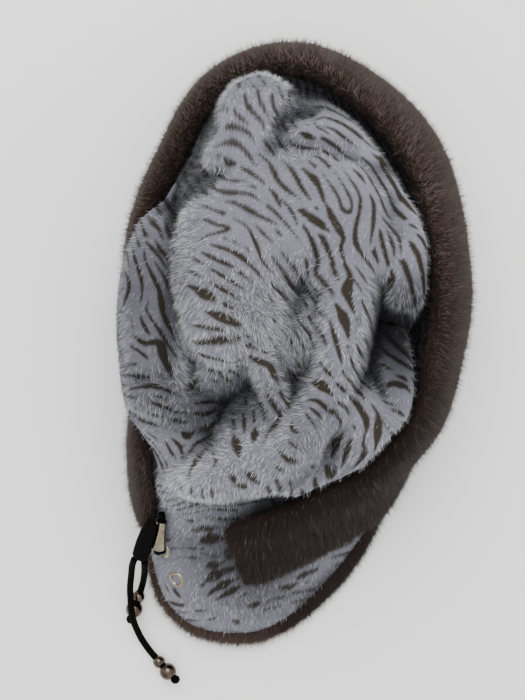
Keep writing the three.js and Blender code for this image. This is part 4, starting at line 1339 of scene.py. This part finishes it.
def band_section(angle, inset=0.0):
    """The band's rounded section in each direction, shrunk by inset towards its middle."""
    low, top = band_at(angle, "low_z"), band_at(angle, "top_z")

    def point(z, share):
        skewed = angle - band_at(angle, "skew") * (z - low) / (top - low)
        rim = wall_at(skewed, "rim_z")
        lean = np.where(z > rim, band_at(angle, "lean") * (z - rim) / np.maximum(top - rim, 1), 0)
        return beside_wall(skewed, z, BAND_GAP + band_at(angle, "thick") * share, -lean)

    levels = [low + BAND_EDGE, mix(low, top, 0.35), mix(low, top, 0.7), top - BAND_EDGE]
    rough = [point(z, 0.0) for z in levels] + [point(top, 0.3), point(top, 0.7)]
    rough += [point(z, 1.0) for z in levels[::-1]] + [point(low, 0.7), point(low, 0.3)]
    rough = np.stack(rough, axis=1)
    middle = rough.mean(axis=1, keepdims=True)
    rough = middle + (rough - middle) * (1 - inset)
    n = rough.shape[1]
    per = BAND_ROUND // n
    out = []
    for i in range(n):
        near = [rough[:, (i + k) % n] for k in (-1, 0, 1, 2)]
        for j in range(per):
            out.append(through([-1, 0, 1, 2], near, j / per))
    rings = np.stack(out, axis=1)
    for _ in range(BAND_SOFT_ROUNDS):
        rings = 0.5 * rings + 0.25 * (np.roll(rings, 1, axis=1) + np.roll(rings, -1, axis=1))
    return rings


def make_band():
    angle = np.linspace(BAND_START, BAND_STOP, BAND_STATIONS)
    rings = band_section(angle)
    count = rings.shape[1]
    slim = 1 - BAND_END_SLIM * (1 - np.arange(BAND_END_RINGS) / BAND_END_RINGS)[:, None, None] ** 2
    for side in (slice(0, BAND_END_RINGS), slice(-1, -BAND_END_RINGS - 1, -1)):
        middles = rings[side].mean(axis=1, keepdims=True)
        rings[side] = middles + (rings[side] - middles) * slim
    ends = [ring.mean(axis=0) + (ring - ring.mean(axis=0)) * BAND_CAP for ring in rings[[0, -1]]]
    points = np.concatenate([ends[0][None], rings, ends[1][None]])
    rows = len(points)
    ring_middles = points.mean(axis=1)
    all_points, (quads, caps) = capped(points, ring_middles[0], ring_middles[-1])
    triangles, = outward(all_points, [np.concatenate([split_quads(quads), caps])])
    around = np.concatenate([np.repeat(np.arange(rows), count), [0, rows - 1]]) * 1.6
    round_at = np.concatenate([np.tile(np.arange(count), rows), [0, 0]]) * 2.2
    plane = np.stack([around - 330, round_at], axis=1) * 0.45
    skin = Skin(all_points, triangles, plane)
    colours = np.tile(BAND_ROOT, (len(all_points), 1))
    base = build_mesh("band_skin", all_points, outward(all_points, [quads, caps]), SKIN, colours)
    finish_piece(base, "band_fur", "brim_band")

    rng = np.random.default_rng(8)
    centre = all_points.mean(axis=0)
    place, normal, flat = skin.scatter(BAND_STRANDS, rng)
    n = len(place)
    radial = unit((place - centre) * np.array([1, 1, 0]))
    up = np.clip(normal[:, 2], 0, 1)
    inward, outer = (np.clip(side * dot(normal, radial), 0, 1) for side in (-1, 1))
    comb = radial * (1.0 - 0.6 * inward) + BAND_COMB
    comb[:, :2] += 0.30 * tufts(flat, 3.4, 29) + 0.26 * rng.normal(0, 1, (n, 2))
    tangent = np.stack([-radial[:, 1], radial[:, 0], np.zeros(n)], axis=1)
    comb += 1.2 * smooth((np.abs(dot(normal, tangent)) - 0.6) / 0.3) * normal
    guard = rng.uniform(0, 1, n) < BAND_GUARD_SHARE
    lift = rng.normal(BAND_LIFT, BAND_LIFT_SPREAD, n) + BAND_GUARD_LIFT * guard
    lift = np.radians(np.clip(lift, 10, 75))
    length = np.where(guard, rng.uniform(*BAND_GUARD, n), rng.uniform(*BAND_PILE, n))
    width = np.where(guard, BAND_GUARD_WIDTH, rng.uniform(*BAND_WIDTHS, n))
    direction = polar(place[:, 0], place[:, 1])[0]
    # Painted shade on the band's fur, on the side away from the light
    low, high = BAND_SHADED
    shaded = smooth((high - direction) / 60) * (direction > low) * (direction < high)
    # Painted sheen: the band's tips are paler where they face up and round the lit side, less so in the
    # painted shade
    glow = np.clip(0.10 + 0.50 * up * (0.6 + 0.4 * tufts(flat, 3.1, 31)[:, 0]), 0, 1)
    glow *= 1 - np.where(guard, 0.2, 0.85) * shaded
    low, high = BAND_GLOWING
    glow *= 1 + BAND_GLOW * smooth((direction - low) / 25) * smooth((high - direction) / 25)
    pale = glow * rng.uniform(0.2, 1, n) * np.where(guard, 1.5, 1)
    tip = mix(np.array(BAND_TIP), np.array(BAND_PAINTED_SHEEN), pale[:, None])
    uneven = np.exp((0.34 + 0.35 * shaded) * rng.normal(0, 1, n))
    # Painted shade: darker tips on the shaded side and on faces turned outward
    gloom = (1 - np.where(guard, 0.2, 0.86) * shaded)[:, None] * (1 - 0.35 * outer)
    tip *= uneven[:, None] * gloom
    root = np.array(BAND_ROOT) * (1 + 0.2 * rng.uniform(-1, 1, (n, 1)))
    piece = strands("band_fur", place, normal, comb, lift, length, width, root, tip.clip(0, 1), rng,
                    DARK_FUR, flat)
    finish_piece(piece, "band_fur")


def make_hem():
    angle = np.arange(HEM_COLUMNS) * 360 / HEM_COLUMNS
    a = np.radians(angle)
    hem, foot = wall_at(angle, "hem"), wall_at(angle, "foot")
    r, z = wall_point(angle, 0.0)
    ahead = wall_point(angle, 0.05)
    size = np.hypot(ahead[0] - r, ahead[1] - z)
    inner = r - CLOTH * np.clip(size / np.maximum(ahead[1] - z, 0.01), 1, 2.4)
    section = [(inner, 0.0), (hem - 3, 0.0), (hem - 1.0, 0.9), (hem, HEM_BULGE_Z),
               (mix(hem, foot, 0.15), 6.2), (mix(hem, foot, 0.45), 8.8), (foot, HEM_HEIGHT - 0.4),
               (foot - 1, HEM_HEIGHT), (inner + 1, HEM_HEIGHT), (inner, HEM_HEIGHT - 1)]
    points = np.concatenate([ring_of(radius, a, height) for radius, height in section])
    quads = looped(len(section), HEM_COLUMNS)
    skin = Skin(points, split_quads(quads), points[:, :2].copy())
    base = build_mesh("hem_skin", points, quads, SKIN, np.tile(HEM_ROOT, (len(points), 1)))
    finish_piece(base, "hem_fur", "hem")

    rng = np.random.default_rng(13)
    level = skin.points[skin.triangles].mean(axis=1)
    direction, out = polar(level[:, 0], level[:, 1])
    share = ((out > wall_at(direction, "foot") - 3) & (level[:, 2] > 0.3)).astype(float)
    place, normal, flat = skin.scatter(HEM_STRANDS, rng, share)
    n = len(place)
    comb = unit(place * np.array([1, 1, 0])) + HEM_COMB
    comb[:, :2] += 0.30 * tufts(flat, 2.0, 37) + 0.26 * rng.normal(0, 1, (n, 2))
    lift = np.radians(np.clip(rng.normal(HEM_LIFT, HEM_LIFT_SPREAD, n), 3, 70))
    guard = rng.uniform(0, 1, n) < HEM_GUARD_SHARE
    length = np.where(guard, rng.uniform(*HEM_GUARD, n), rng.uniform(*HEM_PILE, n))
    width = np.where(guard, HEM_GUARD_WIDTH, rng.uniform(*HEM_WIDTHS, n))
    angle = polar(place[:, 0], place[:, 1])[0]
    # Painted shade: the inner, higher part of the hem at the back right is darker
    gloom = 1 - 0.8 * smooth((angle + 98) / 8) * (angle < 0) * smooth((place[:, 2] - 3.5) / 4)
    tip = np.array(HEM_TIP) * np.exp(0.3 * rng.normal(0, 1, (n, 1))) * gloom[:, None]
    tip *= np.where(guard, 1.7, 1.0)[:, None]
    root = np.tile(HEM_ROOT, (n, 1))
    piece = strands("hem_fur", place, normal, comb, lift, length, width, root, tip.clip(0, 1), rng,
                    BROWN_FUR, flat)
    finish_piece(piece, "hem_fur")


def centripetal(points, per=24):
    """A smooth curve through points, as dense points: a centripetal Catmull-Rom curve."""
    p = np.array(points, float)
    p = np.concatenate([[2 * p[0] - p[1]], p, [2 * p[-1] - p[-2]]])
    out = []
    for i in range(1, len(p) - 2):
        near = p[i - 1:i + 3]
        t = [0.0]
        for k in range(3):
            t.append(t[k] + math.sqrt(np.linalg.norm(near[k + 1] - near[k])))
        at = np.linspace(t[1], t[2], per, endpoint=False)[:, None]

        def between(low, high, a, b):
            return (t[high] - at) / (t[high] - t[low]) * a + (at - t[low]) / (t[high] - t[low]) * b

        once = [between(k, k + 1, near[k], near[k + 1]) for k in range(3)]
        twice = [between(k, k + 2, once[k], once[k + 1]) for k in range(2)]
        out.append(between(1, 2, *twice))
    return np.concatenate([*out, [p[-2]]])


def evenly(line, step):
    size = np.concatenate([[0], np.cumsum(np.linalg.norm(np.diff(line, axis=0), axis=1))])
    count = max(2, int(round(size[-1] / step)) + 1)
    at = np.linspace(0, size[-1], count)
    return np.stack([np.interp(at, size, line[:, k]) for k in range(3)], axis=1), size[-1]


def carried_frames(line):
    """Two directions across the line at each point, turned as little as possible along it."""
    along = unit(np.gradient(line, axis=0))
    first = unit(np.cross(along[0], [0.0, 0.0, 1.0]))
    sides = [first]
    for way in along[1:]:
        side = sides[-1] - way * np.dot(sides[-1], way)
        sides.append(unit(side))
    sides = np.array(sides)
    return along, sides, np.cross(along, sides)


def make_cord(name):
    """A braided round cord: strands cross in two turns, and each stands out where it lies on top."""
    line, length = evenly(centripetal(CORD_ROUTES[name]), CORD_STEP)
    _, side, up = carried_frames(line)
    angle = 2 * math.pi * np.arange(CORD_SIDES) / CORD_SIDES
    s = np.arange(len(line))[:, None] * CORD_STEP
    round_it, along_it = CORD_PLAITS * angle / 2, 2 * math.pi * s / CORD_PITCH
    crossing = np.maximum(np.abs(np.sin(round_it + along_it)), np.abs(np.sin(round_it - along_it)))
    radius = CORD_DIAMETER / 2 - 0.03 + CORD_RELIEF * crossing - 0.08
    ends = np.minimum(s[:, 0], length - s[:, 0])
    radius = radius * np.sqrt(np.clip(1 - (1 - np.clip(ends / 0.5, 0, 1)) ** 2, 0.25, 1))[:, None]
    ring = side[:, None] * np.cos(angle)[None, :, None] + up[:, None] * np.sin(angle)[None, :, None]
    points, groups = capped(line[:, None] + ring * radius[:, :, None], line[0], line[-1])
    obj = build_mesh(name + "_braid", points, outward(points, groups), BLACK_CORD)
    finish_piece(obj, "cord", name)
    return obj, line, length


def on_tail(name, back):
    line, length = evenly(centripetal(CORD_ROUTES[name]), 0.1)
    i = min(len(line) - 2, max(0, int(round((length - back) / length * (len(line) - 1)))))
    return line[i], unit(line[min(i + 1, len(line) - 1)] - line[i - 1])


def lathe(name, profile, point, along, material, slot, nodes, segments=64, wide=None, stretch=1.0,
          relief=None):
    """A turned piece: profile is pairs of radius and height along the axis, closed on itself."""
    profile = np.array(profile, float)
    angle = 2 * math.pi * np.arange(segments) / segments
    along = unit(np.asarray(along, float))
    side = unit(np.cross(along, [0.0, 0.0, 1.0])) if wide is None else unit(wide)
    up = np.cross(along, side)
    ring = side * np.cos(angle)[:, None] * stretch + up * np.sin(angle)[:, None]
    radius = profile[:, 0][:, None] * np.ones(segments)
    if relief is not None:
        radius = radius + relief(angle[None], profile[:, 1][:, None])
    points = point + ring[None] * radius[:, :, None] + along * profile[:, 1][:, None, None]
    if profile[0, 0] < 1e-6:
        flat, groups = capped(points[1:-1], points[0, 0], points[-1, 0])
    else:
        flat, groups = points.reshape(-1, 3), [looped(len(profile), segments)]
    obj = build_mesh(name, flat, outward(flat, groups), material)
    return finish_piece(obj, slot, *nodes)


def rounded_profile(corners, radius, steps=5):
    """A closed profile whose corners are rounded by arcs of about the given radius."""
    corners = np.array(corners, float)
    out = []
    n = len(corners)
    for i in range(n):
        before, at, after = corners[i - 1], corners[i], corners[(i + 1) % n]
        cut = min(radius, 0.45 * np.linalg.norm(before - at), 0.45 * np.linalg.norm(after - at))
        a, b = at + unit(before - at) * cut, at + unit(after - at) * cut
        for t in np.linspace(0, 1, steps):
            out.append((1 - t) ** 2 * a + 2 * t * (1 - t) * at + t * t * b)
    return np.array(out)


def eyelet_place(angle, z):
    step = 3.0

    def at(where, height):
        return ring_of(wall_radius(where, height)[0], math.radians(where), height)

    around = at(angle + step, z) - at(angle - step, z)
    up = at(angle, z + step) - at(angle, z - step)
    return at(angle, z), unit(np.cross(around, up))


def make_eyelets():
    front, back = -EYELET_SEAT + GAP, -CLOTH + EYELET_SEAT - GAP
    inner, rim = EYELET_BORE / 2, EYELET_FLANGE / 2
    barrel = inner + EYELET_WALL
    profile = rounded_profile([
        (inner, back - EYELET_FLANGE_THICK), (rim, back - EYELET_FLANGE_THICK), (rim, back),
        (barrel, back), (barrel, front), (rim, front), (rim - 0.5, front + EYELET_FLANGE_THICK),
        (inner + 0.5, front + EYELET_FLANGE_THICK + 0.25), (inner, front + 0.3),
    ], 0.35)
    for name, (angle, z) in EYELETS.items():
        point, out = eyelet_place(angle, z)
        lathe(name + "_ring", profile, point, out, CHAMPAGNE, "pale_metal", [name])


def bead_profile(diameter):
    edge = math.acos(BORE / diameter)
    turns = np.linspace(-edge, edge, 28)
    ball = np.stack([np.cos(turns), np.sin(turns)], axis=1) * diameter / 2
    inside = [(BORE / 2 + 0.02, y) for y in np.linspace(ball[-1, 1], ball[0, 1], 5)[1:-1]]
    return np.concatenate([ball, inside])


def knot_relief(angle, height):
    return 0.22 * np.sin(3 * angle + 1.6 * height) * np.sin(2.2 * height + 0.8)


def make_beads(tail, cord_name):
    made = []
    for size, (diameter, back) in BEAD_PLACES.items():
        point, along = on_tail(cord_name, back)
        solid = f"bead_{tail}_{size}"
        made.append(lathe(solid + "_ball", bead_profile(diameter), point, along, BRONZE, "bronze", [solid]))
    point, along = on_tail(cord_name, 0)
    reach = math.sqrt(BEAD_LARGE ** 2 - BORE ** 2) / 2
    nested = math.sqrt((KNOT / 2 + GAP) ** 2 - (BORE / 2) ** 2)
    middle = point + along * (reach + nested - BEAD_PLACES["large"][1])
    turns = np.linspace(-math.pi / 2, math.pi / 2, 22)
    profile = np.stack([np.cos(turns), np.sin(turns)], axis=1) * (KNOT / 2 - 0.1)
    profile[[0, -1], 0] = 0
    solid = f"end_knot_{tail}"
    made.append(lathe(solid + "_ball", profile, middle, along, BLACK_CORD, "cord", [solid], 40,
                      relief=knot_relief))
    return made


def make_stopper():
    route = np.array(CORD_ROUTES["cord_loop"], float)
    mouth, along = route[6], unit(route[7] - route[6])
    corners = [
        (STOPPER_MOUTH / 2 - STOPPER_LIP, 0), (STOPPER_MOUTH / 2, 0),
        (STOPPER_MOUTH / 2, 2 * STOPPER_LIP), (STOPPER_WAIST / 2, STOPPER_LENGTH * 0.35),
        (STOPPER_TOP / 2, STOPPER_LENGTH * 0.7), (STOPPER_TOP / 2, STOPPER_LENGTH),
        (BORE / 2, STOPPER_LENGTH), (BORE / 2, STOPPER_LENGTH * 0.5),
        (STOPPER_CUP / 2, STOPPER_LENGTH * 0.3),
    ]
    return lathe("stopper_bell", rounded_profile(corners, 0.5), mouth - along * STOPPER_OVERHANG, along,
                 CHAMPAGNE, "pale_metal", ["cord_stopper"])


def wound(angle, height):
    """Turns of thread round the wrap, a little askew."""
    return 0.10 * np.abs(np.sin(math.pi * height / 0.9 + 0.5 * np.sin(angle))) - 0.1


def make_wrap():
    along = WRAP_TOP - WRAP_FOOT
    length = np.linalg.norm(along)
    along = along / length
    half = WRAP_THICK / 2
    height = np.linspace(0, length, 110)
    outline = [(0, 0.3), (0.4, 0.52), (WRAP_ROUNDING, 0.78), (3.2, 0.96), (length * 0.4, 1.0),
               (length * 0.7, 0.88), (length - 3, 0.72), (length - 1, 0.55), (length, 0.3)]
    share = np.interp(height, [h for h, _ in outline], [s for _, s in outline])
    profile = np.stack([half * share, height], axis=1)
    profile = np.concatenate([[[0, 0]], profile, [[0, length]]])
    wide = unit(np.array([-along[1], along[0], 0.0]))
    return lathe("wrap_thread", profile, WRAP_FOOT, along, BLACK_CORD, "cord", ["cord_wrap"], 56,
                 wide=wide, stretch=WRAP_WIDTH / WRAP_THICK, relief=wound)


def make_drawstring():
    stopper, wrap = make_stopper(), make_wrap()
    loop, line, length = make_cord("cord_loop")
    for tail in ("long", "short"):
        name = "cord_" + tail
        ends = make_beads(tail, name)
        obj, line, length = make_cord(name)


def make_stage():
    corners = FLOOR_HALF * np.array([[-1, -1, 0], [1, -1, 0], [1, 1, 0], [-1, 1, 0]]) + MIDDLE
    pale = coloured_material("pale_floor", FLOOR, tuple(0.985 * c for c in FLOOR), 3, 0.75)
    floor = build_mesh("floor", corners, np.array([[0, 1, 2, 3]]), pale)
    world = bpy.data.worlds.new("studio")
    world.use_nodes = True
    world.node_tree.nodes["Background"].inputs["Color"].default_value = STUDIO
    world.node_tree.nodes["Background"].inputs["Strength"].default_value = STUDIO_STRENGTH
    bpy.context.scene.world = world
    for name, (place, size, power) in LAMPS.items():
        lamp = bpy.data.lights.new(name, "AREA")
        lamp.size = size
        lamp.energy = power
        lit = bpy.data.objects.new(name, lamp)
        lit.location = place
        lit.rotation_euler = (Vector((0, 0, 0.03)) - Vector(place)).to_track_quat("-Z", "Y").to_euler()
        bpy.context.scene.collection.objects.link(lit)


def make_camera():
    data = bpy.data.cameras.new("camera")
    data.sensor_fit = "AUTO"
    data.sensor_width = SENSOR
    data.lens = SENSOR * FOCAL / FRAME_HIGH
    data.clip_start = 0.01
    camera = bpy.data.objects.new("camera", data)
    camera.location = to_frame(CAMERA_AT)
    bpy.context.scene.collection.objects.link(camera)
    bpy.context.scene.camera = camera


make_camera()
make_drawstring()
make_eyelets()
make_stage()
make_hem()
make_band()
make_crown()
